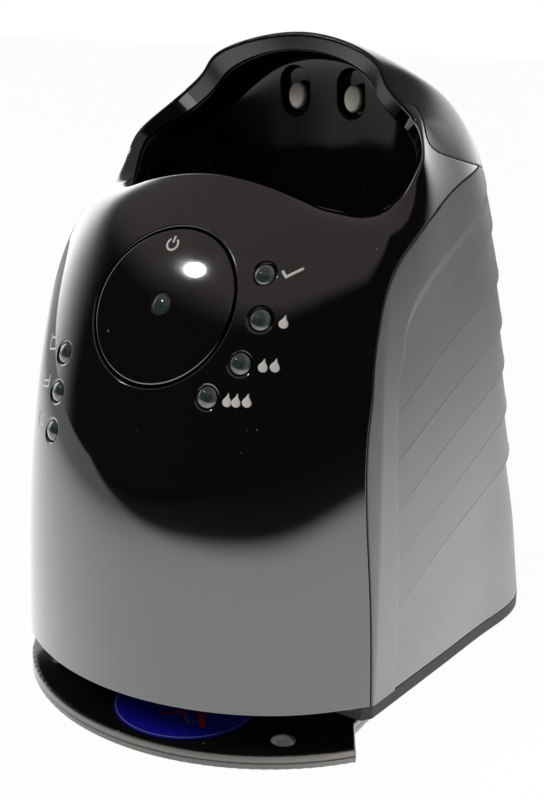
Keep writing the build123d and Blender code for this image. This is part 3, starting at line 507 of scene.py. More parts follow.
CORNER_SOFT = (0.7, 5.5)  # half the window at the corner low down, and what it gains up to the rim
CORNER_FROM = 0.62  # the level from which it gains
CORNER_REACH = 12
PLAIN_WINDOW = 0.5
WELL_WINDOW = 3.0
RIM_CROWD = 1.6  # rows of the skin crowd towards the rim
PLANE_H = 130.0  # height of the skin's flat pattern, in which it is divided


def level_of(q):
    return 1 - (1 - np.clip(q, 0, 1)) ** RIM_CROWD


def row_of(level):
    return 1 - (1 - np.clip(level, 0, 1)) ** (1 / RIM_CROWD)


def corner_window(s, level):
    """Half the window that rounds the outline: wider at the corner, and more so high up."""
    soft = CORNER_SOFT[0] + CORNER_SOFT[1] * smooth((level - CORNER_FROM) / (1 - CORNER_FROM))
    near = np.exp(-(((np.abs(s) - CORNER_S) / CORNER_REACH) ** 2))
    return PLAIN_WINDOW + (soft - PLAIN_WINDOW) * near


def skin(s, q):
    """Outer skin: s along the outline, q from 0 at the foot to 1 at the rim."""
    level = level_of(q)
    even, odd = weights(s, corner_window(s, level))
    fx, fy, rx, ry, rz, share, start, end = STATIONS.T
    v = level[:, None]
    lean = share * v + (1 - share) * (1 - np.maximum(1 - v**start, 0) ** (1 / end))
    x = (odd * (fx + (rx - fx) * lean)).sum(1)
    y = (even * (fy + (ry - fy) * lean)).sum(1)
    z = (even * (FOOT_Z + (rz - FOOT_Z) * v)).sum(1)
    return np.stack([x, y, z], axis=1)


def rim_height(s):
    even, _ = weights(s, np.full(len(s), PLAIN_WINDOW))
    return even @ RIM_Z


def well_ring(s, ring):
    even, odd = weights(s, np.full(len(s), WELL_WINDOW))
    return np.stack([odd @ ring[:, 0], even @ ring[:, 1], even @ ring[:, 2]], axis=1)


def surface_normal(surface, a, b, da, db):
    """Unit normals by differences in the surface's own two directions."""
    up = np.minimum(b + db, 1.0)
    down = np.maximum(b - db, 0.0)
    return unit(np.cross(surface(a + da, b) - surface(a - da, b), surface(a, up) - surface(a, down)))


SKIN_STEPS = (0.15, 0.0015)


def skin_normals(s, q):
    return surface_normal(skin, s, q, *SKIN_STEPS)


def side_to_s(y, z):
    """Distance along the right half's outline of the skin's points at the given side view places."""
    s = np.linspace(40, HALF_ROUND - 1, 900)
    tops = rim_height(s)
    found = []
    for yi, zi in zip(y, z):
        level = (zi - FOOT_Z) / (tops - FOOT_Z)
        inside = level <= 1.0
        if not inside.any():
            found.append(HALF_ROUND)
            continue
        line = skin(s[inside], row_of(level[inside]))[:, 1]
        found.append(np.interp(yi, np.maximum.accumulate(line), s[inside]))
    return np.array(found)


def pattern_point(s, z):
    """Place in the skin's flat pattern of the point at distance s and height z."""
    level = (z - FOOT_Z) / (rim_height(s) - FOOT_Z)
    return np.stack([s, row_of(level) * PLANE_H], axis=1)


def locate(first, goal, measure):
    """Places (s, q) on the skin whose measured pair of values is the goal, by Newton steps."""
    at = np.array(first, float)
    for _ in range(12):
        here = measure(skin(at[:, 0], at[:, 1]))
        ja = (measure(skin(at[:, 0] + 0.01, at[:, 1])) - here) / 0.01
        jb = (measure(skin(at[:, 0], at[:, 1] + 1e-4)) - here) / 1e-4
        miss = goal - here
        det = ja[:, 0] * jb[:, 1] - ja[:, 1] * jb[:, 0]
        at[:, 0] += (miss[:, 0] * jb[:, 1] - miss[:, 1] * jb[:, 0]) / det
        at[:, 1] += (ja[:, 0] * miss[:, 1] - ja[:, 1] * miss[:, 0]) / det
        at[:, 1] = np.clip(at[:, 1], 0.0, 0.999)
    return at


# ---------------------------------------------------------------------------
# Meshes
# ---------------------------------------------------------------------------

RINGS = 9
SLIVER = 1e-4  # a triangle under this area only joins points of one straight side, and is left out
EDGE_ROUND = 0.3
SEAM_GAP = 0.1
RIM_ROUND = 1.3
BAND_ROUND = 0.6
LINER_LAP = 1.8


def settle(piece, body, replaces):
    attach(piece, body)
    if replaces:
        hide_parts(*replaces)


def make_piece(name, points, faces, normals, material, body, replaces=()):
    """A finished mesh piece from points in millimetres, that rides on a body."""
    data = bpy.data.meshes.new(name)
    placed = (np.asarray(points, float) + (0, CENTRE_Y, 0)) * MM
    data.from_pydata(placed.tolist(), [], faces)
    data.update()
    for polygon in data.polygons:
        polygon.use_smooth = True
    if normals is not None:
        data.normals_split_custom_set_from_vertices(unit(np.asarray(normals)).tolist())
    data.materials.append(material)
    settle(new_object(name, data), body, replaces)


def grid(columns, rows):
    a, b = np.meshgrid(columns, rows)
    return np.stack([a.ravel(), b.ravel()], axis=1)


def inside_loops(points, loops):
    """Which points lie inside the outline and outside its holes."""
    result = np.zeros(len(points), bool)
    x, y = points[:, 0], points[:, 1]
    for loop in loops:
        for (ax, ay), (bx, by) in zip(loop, np.roll(loop, -1, axis=0)):
            if ay == by:
                continue
            crosses = (ay > y) != (by > y)
            result ^= crosses & (x < (bx - ax) * (y - ay) / (by - ay) + ax)
    return result


def point_tree(points):
    tree = KDTree(len(points))
    for i, (x, y) in enumerate(points):
        tree.insert((x, y, 0), i)
    tree.balance()
    return tree


def clear_of_loops(points, loops, gap):
    """The points that stay more than a gap away from every point of the loops."""
    tree = point_tree(np.concatenate(loops))
    return points[[tree.find((x, y, 0))[2] > gap for x, y in points]]


def kept_inner(points, loops, gap):
    return clear_of_loops(points[inside_loops(points, loops)], loops, gap)


def turned_loop(loop, clockwise):
    x, y = loop[:, 0], loop[:, 1]
    area = (x * np.roll(y, -1) - np.roll(x, -1) * y).sum()
    return loop[::-1] if (area > 0) == clockwise else loop


def dense(loop, step, rounded=np.ceil):
    """The loop with further points along its sides."""
    points = []
    for p, n in zip(loop, np.roll(loop, -1, axis=0)):
        steps = max(1, int(rounded(np.hypot(*(n - p)) / step)))
        points += [p + (n - p) * i / steps for i in range(steps)]
    return np.array(points)


def fill_pattern(loops, inner):
    """Triangles over the loops' points and then the inner ones, inside the outline."""
    points = np.concatenate([*loops, inner])
    edges = []
    start = 0
    for loop in loops:
        n = len(loop)
        edges += [(start + i, start + (i + 1) % n) for i in range(n)]
        start += n
    _, _, faces, origin, _, _ = delaunay_2d_cdt([Vector(p) for p in points], edges, [], 0, 1e-6)
    source = [o[0] for o in origin]
    faces = np.array([[source[i] for i in face] for face in faces])
    corners = points[faces]
    a, b = corners[:, 1] - corners[:, 0], corners[:, 2] - corners[:, 0]
    whole = np.abs(a[:, 0] * b[:, 1] - a[:, 1] * b[:, 0]) / 2 > SLIVER
    return faces[whole & inside_loops(corners.mean(axis=1), loops)]


def wall_faces(loops, layer, layers, start=0):
    """Walls that go down from closed loops through layers of points."""
    faces = []
    for loop in loops:
        n = len(loop)
        for j in range(layers):
            a, b = start + j * layer, start + (j + 1) * layer
            for i in range(n):
                k = (i + 1) % n
                faces.append((a + i, b + i, b + k, a + k))
        start += n
    return faces


def plain_edge(points, normals, out, depth, radius, gap):
    """Rings over a rounded edge and down the wall behind it, with their normals."""
    rings, turned = [], []
    for angle in np.linspace(0, math.pi / 2, 5):
        inward = gap + radius * (1 - math.sin(angle))
        rings.append(points - out * inward - normals * radius * (1 - math.cos(angle)))
        turned.append(out * math.sin(angle) + normals * math.cos(angle))
    for share in (0.3, 0.6, 0.85, 1.0):
        rings.append(points - out * gap - normals * (radius + (depth - radius) * share)[:, None])
        turned.append(out - normals * (share > 0.9))
    return rings, turned


def bend(a, b, c, t):
    """Point of the curve that leaves a towards b and arrives at c from b, and its direction."""
    return a * (1 - t) ** 2 + b * 2 * t * (1 - t) + c * t * t, unit((b - a) * (1 - t) + (c - b) * t)


def rim_reach(s):
    """How far the rim's rounding reaches down the skin at each place of the outline."""
    top = skin(s, np.ones(len(s)))
    return np.minimum(RIM_ROUND, 0.45 * np.linalg.norm(well_ring(s, BAND) - top, axis=1))


def below_rim(points, spare):
    """Which pattern points lie clear of the rim's rounding."""
    a, b = points[:, 0], np.clip(points[:, 1] / PLANE_H, 0, 1)
    gap = np.linalg.norm(skin(a, b) - skin(a, np.ones(len(a))), axis=1)
    return gap > rim_reach(a) + spare


def at_rim(loop):
    return loop[:, 1] > PLANE_H - 1e-6


def rim_start(s):
    """The skin's row at which the rim's rounding starts."""
    wanted = rim_reach(s)
    top = skin(s, np.ones(len(s)))
    rows = np.linspace(1, 0.7, 90)
    gaps = np.array([np.linalg.norm(skin(s, np.full(len(s), row)) - top, axis=1) for row in rows])
    return np.array([np.interp(wanted[i], gaps[:, i], rows) for i in range(len(s))])


def rim_edge(s):
    """Rings over the rim's rounded band, and a little way behind the liner, with their normals."""
    ones = np.ones(len(s))
    top = skin(s, ones)
    start = rim_start(s)
    along = unit(skin(s - 0.2, ones) - skin(s + 0.2, ones))
    band = well_ring(s, BAND)
    down = unit(well_ring(s, THROAT) - band)
    face = band - top
    length = np.linalg.norm(face, axis=1, keepdims=True)
    face = face / np.maximum(length, 1e-6)
    outer = np.minimum(RIM_ROUND, 0.45 * length)
    inner = np.minimum(BAND_ROUND, 0.3 * length)
    behind = unit(down + 0.6 * unit(np.cross(along, down)))
    curve = [bend(skin(s, start), top, top + face * outer, t) for t in (0, 0.25, 0.5, 0.75, 1.0)]
    curve += [bend(band - face * inner, band, band + behind * inner, t) for t in (0, 0.5, 1.0)]
    curve.append((band + behind * LINER_LAP, behind))
    turned = [unit(np.cross(heading, along)) for _, heading in curve]
    turned[0] = skin_normals(s, start)
    return [ring for ring, _ in curve], turned


def shell_piece(
    name, surface, steps, loops, inner, depth_of, material, node, rimmed=False, hole_round=EDGE_ROUND,
    mirror=False,
):  # fmt: skip
    """A walled piece of the housing: its face, rounded edges, walls and its inner face, all closed."""
    outline, *holes = loops
    if rimmed:
        outline = outline[at_rim(outline) | below_rim(outline, 0.3)]
        inner = inner[below_rim(inner, 0.5)]
    loops = [outline, *holes]
    faces = fill_pattern(loops, inner)
    flat = np.concatenate([*loops, inner])
    a, b = flat[:, 0], np.clip(flat[:, 1] / PLANE_H, 0, 1)
    points, normals, depth = surface(a, b), surface_normal(surface, a, b, *steps), depth_of(a, b)
    count = sum(len(loop) for loop in loops)
    rings, turned = np.zeros((2, RINGS, count, 3))
    start = 0
    for number, loop in enumerate(loops):
        block = slice(start, start + len(loop))
        p, nn = points[block], normals[block]
        ahead = unit(np.roll(p, -1, axis=0) - p)
        back = np.roll(ahead, 1, axis=0)
        t1, t2 = unit(np.cross(back, nn)), unit(np.cross(ahead, nn))
        out = (t1 + t2) / np.maximum(1 + (t1 * t2).sum(1, keepdims=True), 0.4)
        radius, gap = (hole_round, 0.0) if number else (EDGE_ROUND, SEAM_GAP)
        rings[:, block], turned[:, block] = plain_edge(p, nn, out, depth[block], radius, gap)
        start += len(loop)
    if rimmed:
        where = np.flatnonzero(at_rim(outline))
        rings[:, where], turned[:, where] = rim_edge(a[where])
    top, top_normals = points[count:], normals[count:]
    bottom = top - top_normals * depth[count:, None]
    vertices = np.concatenate([*rings, top, bottom])
    vertex_normals = np.concatenate([*turned, top_normals, -top_normals])
    upper = np.where(faces < count, faces, RINGS * count + faces - count)
    lower = np.where(faces < count, (RINGS - 1) * count + faces, upper + len(top))[:, ::-1]
    mesh_faces = upper.tolist() + lower.tolist() + wall_faces(loops, count, RINGS - 1)
    if mirror:
        vertices = vertices * (-1, 1, 1)
        vertex_normals = vertex_normals * (-1, 1, 1)
        mesh_faces = [face[::-1] for face in mesh_faces]
    make_piece(name, vertices, mesh_faces, vertex_normals, material, "housing", (node,))


def loop_piece(name, rows, material, body, replaces):
    """A piece from rows of points, closed along each row and from the last row to the first."""
    rows = np.asarray(rows)
    m, n, _ = rows.shape
    faces = []
    for i in range(m):
        a, b = i * n, (i + 1) % m * n
        for j in range(n):
            k = (j + 1) % n
            faces.append((a + j, a + k, b + k, b + j))
    along = np.roll(rows, -1, axis=1) - np.roll(rows, 1, axis=1)
    down = np.roll(rows, -1, axis=0) - np.roll(rows, 1, axis=0)
    normals = unit(np.cross(along, down).reshape(-1, 3))
    make_piece(name, rows.reshape(-1, 3), faces, normals, material, body, replaces)


# ---------------------------------------------------------------------------
# Seams of the housing, in the side view (y, z)
# ---------------------------------------------------------------------------

SEAM_LOW = smooth_line(
    [
        (-31.3, FOOT_Z), (-31.9, 40), (-30.7, 78.3), (-29.4, 85), (-27.7, 93.6), (-25.6, 99.5),
        (-21.8, 106.3), (-13.6, 113.2), (-5.2, 118.2), (7.7, 124.2), (18.3, 127.3), (26.3, 128.9),
    ],
    0.7,
)  # fmt: skip
SEAM_HIGH = smooth_line([(26.3, 128.9), (12, 132), (4.5, 136), (7.5, 141), (8.5, 150), (11, 162)], 0.7)
PANEL_TIP = (26.3, 128.9)
PANEL_REAR = (70.0, 118.0)
PANEL_X = 27.0


def seam_low_pattern():
    y, z = SEAM_LOW.T
    return pattern_point(side_to_s(y, z), z)


def seam_high_pattern():
    """From the panel's tip up to the rim."""
    y, z = SEAM_HIGH.T
    s = side_to_s(y, z)
    below = (z < rim_height(s) - 0.2) & (s < ALONG[8])
    end = int(np.argmin(below)) if not below.all() else len(s)
    line = pattern_point(s[:end], z[:end])
    return np.concatenate([line, [(line[-1, 0] + (line[-1, 0] - line[-2, 0]) * 0.2, PLANE_H)]])


def line_between(a, b, step):
    n = max(2, int(np.hypot(b[0] - a[0], b[1] - a[1]) / step))
    return np.linspace(a, b, n + 1)


def joined(*lines):
    """Closed outline from lines that meet end to end."""
    return np.concatenate([line[:-1] for line in lines])


def square_to_rim(line):
    """A seam whose last piece, within the rim's rounding, runs straight up to the rim."""
    clear = np.flatnonzero(below_rim(line, 0.35))[-1]
    return np.concatenate([line[: clear + 1], [(line[clear, 0], PLANE_H)]])


SEAM_A = seam_low_pattern()
SEAM_B = square_to_rim(seam_high_pattern())
CORNER_SPREAD = np.array([0.3, 0.7, 1.2, 1.9, 2.8, 4.0, 5.5, 7.5])
CORNER_COLUMNS = np.concatenate([CORNER_S - CORNER_SPREAD[::-1], [CORNER_S], CORNER_S + CORNER_SPREAD])


def front_grid(s_end, step, row_step):
    """Inner points of the front's pattern, with more columns beside the corners."""
    columns = np.arange(-s_end, s_end, step)
    columns = columns[np.abs(np.abs(columns) - CORNER_S) > CORNER_SPREAD[-1] + 0.4 * step]
    columns = np.concatenate([columns, CORNER_COLUMNS, -CORNER_COLUMNS])
    columns = columns[(columns > -s_end) & (columns < s_end)]
    return grid(columns, np.arange(row_step / 2, PLANE_H, row_step))


WALL = 2.4
RIM_WALL = 0.75


def wall_depth(a, b):
    """The wall thins towards the rim, where the well's side is near."""
    level = level_of(b)
    drop = (1 - level) * (rim_height(a) - FOOT_Z) * 1.3
    return np.minimum(WALL, RIM_WALL + 0.6 * drop)


# ---------------------------------------------------------------------------
# Front shell
# ---------------------------------------------------------------------------

BUTTON_AT = np.array([0.0, -42.2, 100.7])
BUTTON_R = 18.3
GROOVE = 0.7
WINDOW_R = 2.25
LIGHT_R = 2.3
LIGHT_GAP = 0.25
DISH_R = 3.2
DISH_DEPTH = 0.22
STATUS_ORBIT = 25.3
STATUS_AT = [
    (STATUS_ORBIT * math.cos(math.radians(a)), STATUS_ORBIT * math.sin(math.radians(a)))
    for a in (25.0, 1.7, -21.7, -45.0)
]
LEVEL_AT = [(-25.7, -14.6 - 9.0 * n) for n in range(3)]
LIGHTS_AT = STATUS_AT + LEVEL_AT


def in_button_plane(points):
    """Across and up in the button's plane."""
    from_centre = points - BUTTON_AT
    return np.stack([from_centre[:, 0], from_centre @ BUTTON_UP], axis=1)


def on_front(across, up):
    """Places (s, q) on the skin that lie at the given places of the button's plane."""
    goal = np.stack([across, up], axis=1)
    guess_z = np.clip(BUTTON_AT[2] + up * math.cos(BUTTON_TILT), 20, 120)
    first = np.stack([across * 1.15, row_of((guess_z - FOOT_Z) / 112.0)], axis=1)
    return locate(first, goal, in_button_plane)


def front_points(across, up):
    """The skin's points at the given places of the button's plane, and its normals there."""
    s, q = on_front(across, up).T
    return skin(s, q), skin_normals(s, q)


def circle(centre, radius, count, clockwise=False):
    turn = np.linspace(0, 2 * math.pi, count, endpoint=False)
    if clockwise:
        turn = -turn
    return centre[0] + radius * np.cos(turn), centre[1] + radius * np.sin(turn)


def dished_skin(s, q):
    """The skin with a shallow dish around each light."""
    points = skin(s, q)
    flat = in_button_plane(points)
    for x, y in LIGHTS_AT:
        far = np.hypot(flat[:, 0] - x, flat[:, 1] - y)
        near = (points[:, 1] < 0) & (far < DISH_R)
        drop = DISH_DEPTH * smooth((DISH_R - far) / (DISH_R - LIGHT_R - LIGHT_GAP))
        points = points - BUTTON_AXIS * np.where(near, drop, 0.0)[:, None]
    return points


def pattern_circle(centre, radius, count, clockwise=False):
    at = on_front(*circle(centre, radius, count, clockwise))
    return np.stack([at[:, 0], at[:, 1] * PLANE_H], axis=1)


def make_front_shell():
    right = np.concatenate([SEAM_A[:-1], SEAM_B])
    foot = line_between((-right[0, 0], 0), (right[0, 0], 0), 1.2)
    top = line_between(right[-1], (-right[-1, 0], PLANE_H), 0.9)
    outline = joined(foot, right, top, right[::-1] * (-1, 1))
    holes = [pattern_circle((0, 0), BUTTON_R + GROOVE, 128, True)]
    holes += [pattern_circle(c, LIGHT_R + LIGHT_GAP, 40, True) for c in LIGHTS_AT]
    loops = [outline, *holes]
    inner = kept_inner(front_grid(right[:, 0].max(), 1.7, 1.5), loops, 0.75)
    rounds = [pattern_circle(c, radius, 40) for c in LIGHTS_AT for radius in (2.72, 2.9, 3.08, 3.25)]
    rounds += [pattern_circle((0, 0), BUTTON_R + GROOVE + beyond, 128) for beyond in (0.5, 1.1)]
    rounds = np.concatenate(rounds)
    inner = np.concatenate([clear_of_loops(inner, [rounds], 0.5), kept_inner(rounds, loops, 0.08)])
    shell_piece(
        "front_cover", dished_skin, (0.06, 0.0006), loops, inner, wall_depth, GLOSS_BLACK,
        "front_shell", rimmed=True, hole_round=0.45,
    )  # fmt: skip


# ---------------------------------------------------------------------------
# Side panels
# ---------------------------------------------------------------------------

STEP_DEPTH = 0.8
STEP_EDGE = 0.62
BEAD = 0.09
BEAD_UP = 0.14
BEAD_WIDTH = 0.17
FIELD_DROP = 0.42
FIELD_EDGE = 0.9
FIELD_SOFTER = 5.0  # what the field's edge gains in width high up, from one height over another
SOFTER_FROM, SOFTER_OVER = 96, 13
# height of each step's edge at four places along the side; the first two only bound the field
STEP_Y = np.array([-20.0, 0.0, 30.0, 66.0])
STEP_Z = np.array(
    [
        (113.5, 124.0, 138.0, 152.0), (102.0, 112.6, 126.5, 139.0), (91.0, 101.2, 114.4, 127.0),
        (80.4, 90.2, 101.6, 113.5), (69.9, 78.8, 89.2, 100.3), (58.2, 67.7, 77.8, 89.0),
        (46.0, 55.1, 65.3, 76.0), (34.4, 43.4, 52.5, 62.0),
    ]
)  # fmt: skip
STEP_WEIGHT = np.array([0.0, 0.0, 0.9, 1.0, 1.0, 1.0, 1.0, 1.25])
LAST_FADE = 24  # height over which the lowest step runs out
# how far over a step's edge, and behind the ridge, the mesh has lines
STEP_LINES = (0.75, 0.5, 0.32, 0.16, 0.02, -0.13, -0.27, -0.42, -0.7)
RIDGE_LINES = (-0.4, 0.0, 0.25, 0.5, 0.75, 1.1)
RIDGE_Z = np.array([0, 32.8, 52, 69.6, 77, 84.5, 91.7, 99.5, 106.3, 114.1, 121.9, 130])
RIDGE_Y = np.array([-21.4, -21.7, -22.4, -22.9, -22.6, -21.8, -19.4, -16.1, -8.7, 7.9, 24.6, 44])


def ridge_line(z):
    """The stepped field's front edge: y at height z."""
    return cubic_weights(RIDGE_Z, np.clip(z, RIDGE_Z[0], RIDGE_Z[-1])) @ RIDGE_Y


def step_edges(y):
    return cubic_weights(STEP_Y, np.clip(y, -30, 70)) @ STEP_Z.T


def step_depth(y, z):
    """How far the panel's stepped field lies under the skin."""
    edges = step_edges(y)
    depth = np.zeros(len(y))
    for i in range(1, len(STEP_WEIGHT)):
        upper, lower = edges[:, i - 1], edges[:, i]
        share = (upper - z) / (upper - lower)
        inside = (share >= 0) & (share < 1)
        edge = smooth((upper - z) / STEP_EDGE) * STEP_WEIGHT[i - 1]
        slope = STEP_DEPTH * (1 - share)
        depth += np.where(inside, slope * edge, 0)
        depth -= STEP_WEIGHT[i] * BEAD * np.exp(-(((z - lower - BEAD_UP) / BEAD_WIDTH) ** 2))
    under = edges[:, -1] - z
    last = STEP_DEPTH * STEP_WEIGHT[-1] * smooth(under / STEP_EDGE) * (1 - smooth(under / LAST_FADE))
    depth += np.where(under >= 0, last, 0)
    softer = FIELD_SOFTER * smooth((z - SOFTER_FROM) / SOFTER_OVER)
    return (depth + FIELD_DROP) * smooth((y - ridge_line(z)) / (FIELD_EDGE + softer))


def stepped_skin(s, q):
    points = skin(s, q)
    normals = surface_normal(skin, s, q, 0.2, 0.002)
    return points - normals * step_depth(points[:, 1], points[:, 2])[:, None]


def along_x(x, rows):
    """Distances s at which the rear part of the skin has the given x, one for each row q."""
    s = np.linspace(125, HALF_ROUND, 400)
    return np.array([np.interp(-x, -skin(s, np.full(len(s), q))[:, 0], s) for q in rows])


def panel_top_rows(columns):
    """Rows q at which the given columns s cross the line on top of the side panel."""
    slope = (PANEL_TIP[1] - PANEL_REAR[1]) / (PANEL_REAR[0] - PANEL_TIP[0])
    rows = np.linspace(0.3, 1, 500)
    found = []
    for s in columns:
        p = skin(np.full(len(rows), s), rows)
        over = p[:, 2] - PANEL_TIP[1] + (p[:, 1] - PANEL_TIP[0]) * slope
        found.append(np.interp(0, np.maximum.accumulate(over), rows))
    return np.array(found)


def panel_top_pattern():
    """From the panel's tip to the middle of the back."""
    s = np.arange(SEAM_A[-1, 0] + 0.8, HALF_ROUND, 0.8)
    return np.concatenate([[SEAM_A[-1]], np.stack([s, panel_top_rows(s) * PLANE_H], axis=1)])


def rear_edge_pattern(top):
    """The panel's rear edge from the foot up to the top line."""
    rows = np.linspace(0, 1, 150)
    s = along_x(PANEL_X, rows)
    end = int(np.argmax(rows * PLANE_H > np.interp(s, top[:, 0], top[:, 1])))
    line = np.stack([s[:end], rows[:end] * PLANE_H], axis=1)
    meet = line[-1, 0] + 0.01
    return np.concatenate([line[:-1], [(meet, np.interp(meet, top[:, 0], top[:, 1]))]])


TOP_LINE = panel_top_pattern()
REAR_EDGE = rear_edge_pattern(TOP_LINE)
PANEL_MEET = REAR_EDGE[-1]
PANEL_TOP = TOP_LINE[TOP_LINE[:, 0] < PANEL_MEET[0] - 0.3]


def full_depth(a, b):
    return np.full(len(a), WALL)


def thinned(points, gap):
    """The points without those that have an earlier one nearer than the gap."""
    tree = point_tree(points)
    keep = np.ones(len(points), bool)
    for i, (x, y) in enumerate(points):
        if keep[i]:
            for _, j, _ in tree.find_range((x, y, 0), gap):
                if j > i:
                    keep[j] = False
    return points[keep]


def step_pattern(s_high):
    """Pattern points that run along the steps' edges and the field's front edge."""
    found = []
    rows = np.linspace(0.05, 1, 600)
    for s in np.arange(CORNER_S + 0.5, s_high, 0.6):
        p = skin(np.full(len(rows), s), rows)
        edges = step_edges(p[:, 1])
        ridge = ridge_line(p[:, 2])
        for i in range(2, len(STEP_WEIGHT)):
            over = np.maximum.accumulate(p[:, 2] - edges[:, i])
            for offset in STEP_LINES:
                if over[0] < offset < over[-1]:
                    row = np.interp(offset, over, rows)
                    if np.interp(row, rows, p[:, 1] - ridge) > 0.1:
                        found.append((s, row * PLANE_H))
    columns = np.linspace(CORNER_S, ALONG[8], 500)
    for row in np.concatenate([np.arange(0.5, 84, 0.8), np.arange(84, PLANE_H, 0.25)]):
        p = skin(columns, np.full(len(columns), row / PLANE_H))
        over = np.maximum.accumulate(p[:, 1] - ridge_line(p[:, 2]))
        for offset in RIDGE_LINES:
            if over[0] < offset < over[-1]:
                found.append((np.interp(offset, over, columns), row))
    found = np.array(found)
    return thinned(found[np.lexsort((found[:, 1], found[:, 0]))], 0.07)


def make_side_panels():
    foot = line_between(SEAM_A[0], REAR_EDGE[0], 1.0)
    top = np.concatenate([PANEL_TOP, [PANEL_MEET]])
    loops = [joined(foot, REAR_EDGE, top[::-1], SEAM_A[::-1])]
    s_high = REAR_EDGE[:, 0].max()
    beside_corner = CORNER_S + np.array([-0.35, 0, 0.35, 0.8, 1.4, 2.2, 3.2, 4.4])
    columns = np.concatenate([beside_corner, np.arange(CORNER_S + 5.6, s_high, 1.3)])
    inner = kept_inner(grid(columns, np.arange(0.6, PLANE_H, 1.15)), loops, 0.5)
    lines = kept_inner(step_pattern(s_high), loops, 0.25)
    inner = np.concatenate([clear_of_loops(inner, [lines], 0.42), lines])
    for side in ("right", "left"):
        shell_piece(
            "side_cover_" + side, stepped_skin, (0.1, 0.0009), loops, inner, full_depth, SATIN_GREY,
            "side_panel_" + side, mirror=side == "left",
        )  # fmt: skip


# ---------------------------------------------------------------------------
# Rear cover
# ---------------------------------------------------------------------------

LIFT_Z = 64.0
LIFT_SIZE = (26.6, 16.6)
INLET_Z = 24.0
INLET_SIZE = (18.2, 10.2)


def across_and_up(points):
    return points[:, [0, 2]]


def rounded_rectangle(centre, size, radius, count=7):
    """Outline points of a rectangle with rounded corners, with points along its sides."""
    w, h = size[0] / 2 - radius, size[1] / 2 - radius
    points = []
    for turn, (cx, cy) in enumerate(((w, h), (-w, h), (-w, -h), (w, -h))):
        for a in np.linspace(0, math.pi / 2, count):
            a += turn * math.pi / 2
            points.append((centre[0] + cx + radius * math.cos(a), centre[1] + cy + radius * math.sin(a)))
    return dense(np.array(points), 1.0, np.floor)


def back_opening(z, size, radius):
    shape = rounded_rectangle((0, z), size, radius)
    first = np.stack([HALF_ROUND - shape[:, 0], row_of((shape[:, 1] - FOOT_Z) / 144.0)], axis=1)
    return turned_loop(locate(first, shape, across_and_up) * (1, PLANE_H), True)


def make_rear_cover():
    over = HALF_ROUND * 2
    side = np.concatenate([REAR_EDGE, PANEL_TOP[::-1], SEAM_B[1:]])
    foot = line_between(REAR_EDGE[0], (over - REAR_EDGE[0, 0], 0), 1.0)
    rim = line_between((over - side[-1, 0], PLANE_H), side[-1], 0.8)
    outline = joined(foot, side * (-1, 1) + (over, 0), rim, side[::-1])
    loops = [outline, back_opening(LIFT_Z, LIFT_SIZE, 1.2), back_opening(INLET_Z, INLET_SIZE, 1.0)]
    columns = np.arange(SEAM_B[-1, 0] - 2, over - SEAM_B[-1, 0] + 2, 1.6)
    inner = kept_inner(grid(columns, np.arange(0.7, PLANE_H, 1.4)), loops, 0.7)
    shell_piece(
        "hood_cover", skin, SKIN_STEPS, loops, inner, wall_depth, HOOD_BLACK, "rear_cover",
        rimmed=True,
    )  # fmt: skip


# ---------------------------------------------------------------------------
# Well liner
# ---------------------------------------------------------------------------

WELL_FLOOR = 80.0
WELL_END = np.array([0.82, 0.86, 1.0])
WELL_CORNER = 2.2
LINER_WALL = 1.4
LINER_LIP = 0.45
LINER_FLOOR = 1.75
LINER_KNOTS = np.array([0.0, 11.0, 40.0, 60.0])
POCKET_X = 8.2
POCKET_Z = (142.1, 146.0)
POCKET_R = 3.9
POCKET_DEPTH = 2.9
BASIN_Y = 2.0
BASIN_OPENING = (22.9, 15.0)
OPENING_ROUND = 0.5


def monotone(knots, rows, t):
    """Values between rows that don't swing past them, and keep each row's own slope."""
    step = np.diff(knots)[:, None, None]
    rise = np.diff(rows, axis=0) / step
    slope = np.zeros_like(rows)
    same = rise[1:] * rise[:-1] > 0
    slope[1:-1] = np.where(same, 2 * rise[1:] * rise[:-1] / np.where(same, rise[1:] + rise[:-1], 1), 0)
    slope[0], slope[-1] = rise[0], rise[-1]
    i = np.clip(np.searchsorted(knots, t) - 1, 0, len(knots) - 2)
    h = np.diff(knots)[i][:, None, None]
    return hermite(rows, slope, i, h, (t - knots[i])[:, None, None] / h)


def pocketed(wall):
    """The liner's wall with a pocket pressed into it behind each charging contact."""
    far = np.zeros(wall.shape[:2])
    for x in (POCKET_X, -POCKET_X):
        z = np.clip(wall[:, :, 2], *POCKET_Z)
        gap = np.hypot(wall[:, :, 0] - x, wall[:, :, 2] - z)
        mask = smooth((POCKET_R + 0.25 - gap) / 0.55) * (wall[:, :, 1] > 12)
        far = np.maximum(far, mask)
    return wall + np.array([0, 1, 0]) * (POCKET_DEPTH * far)[:, :, None]


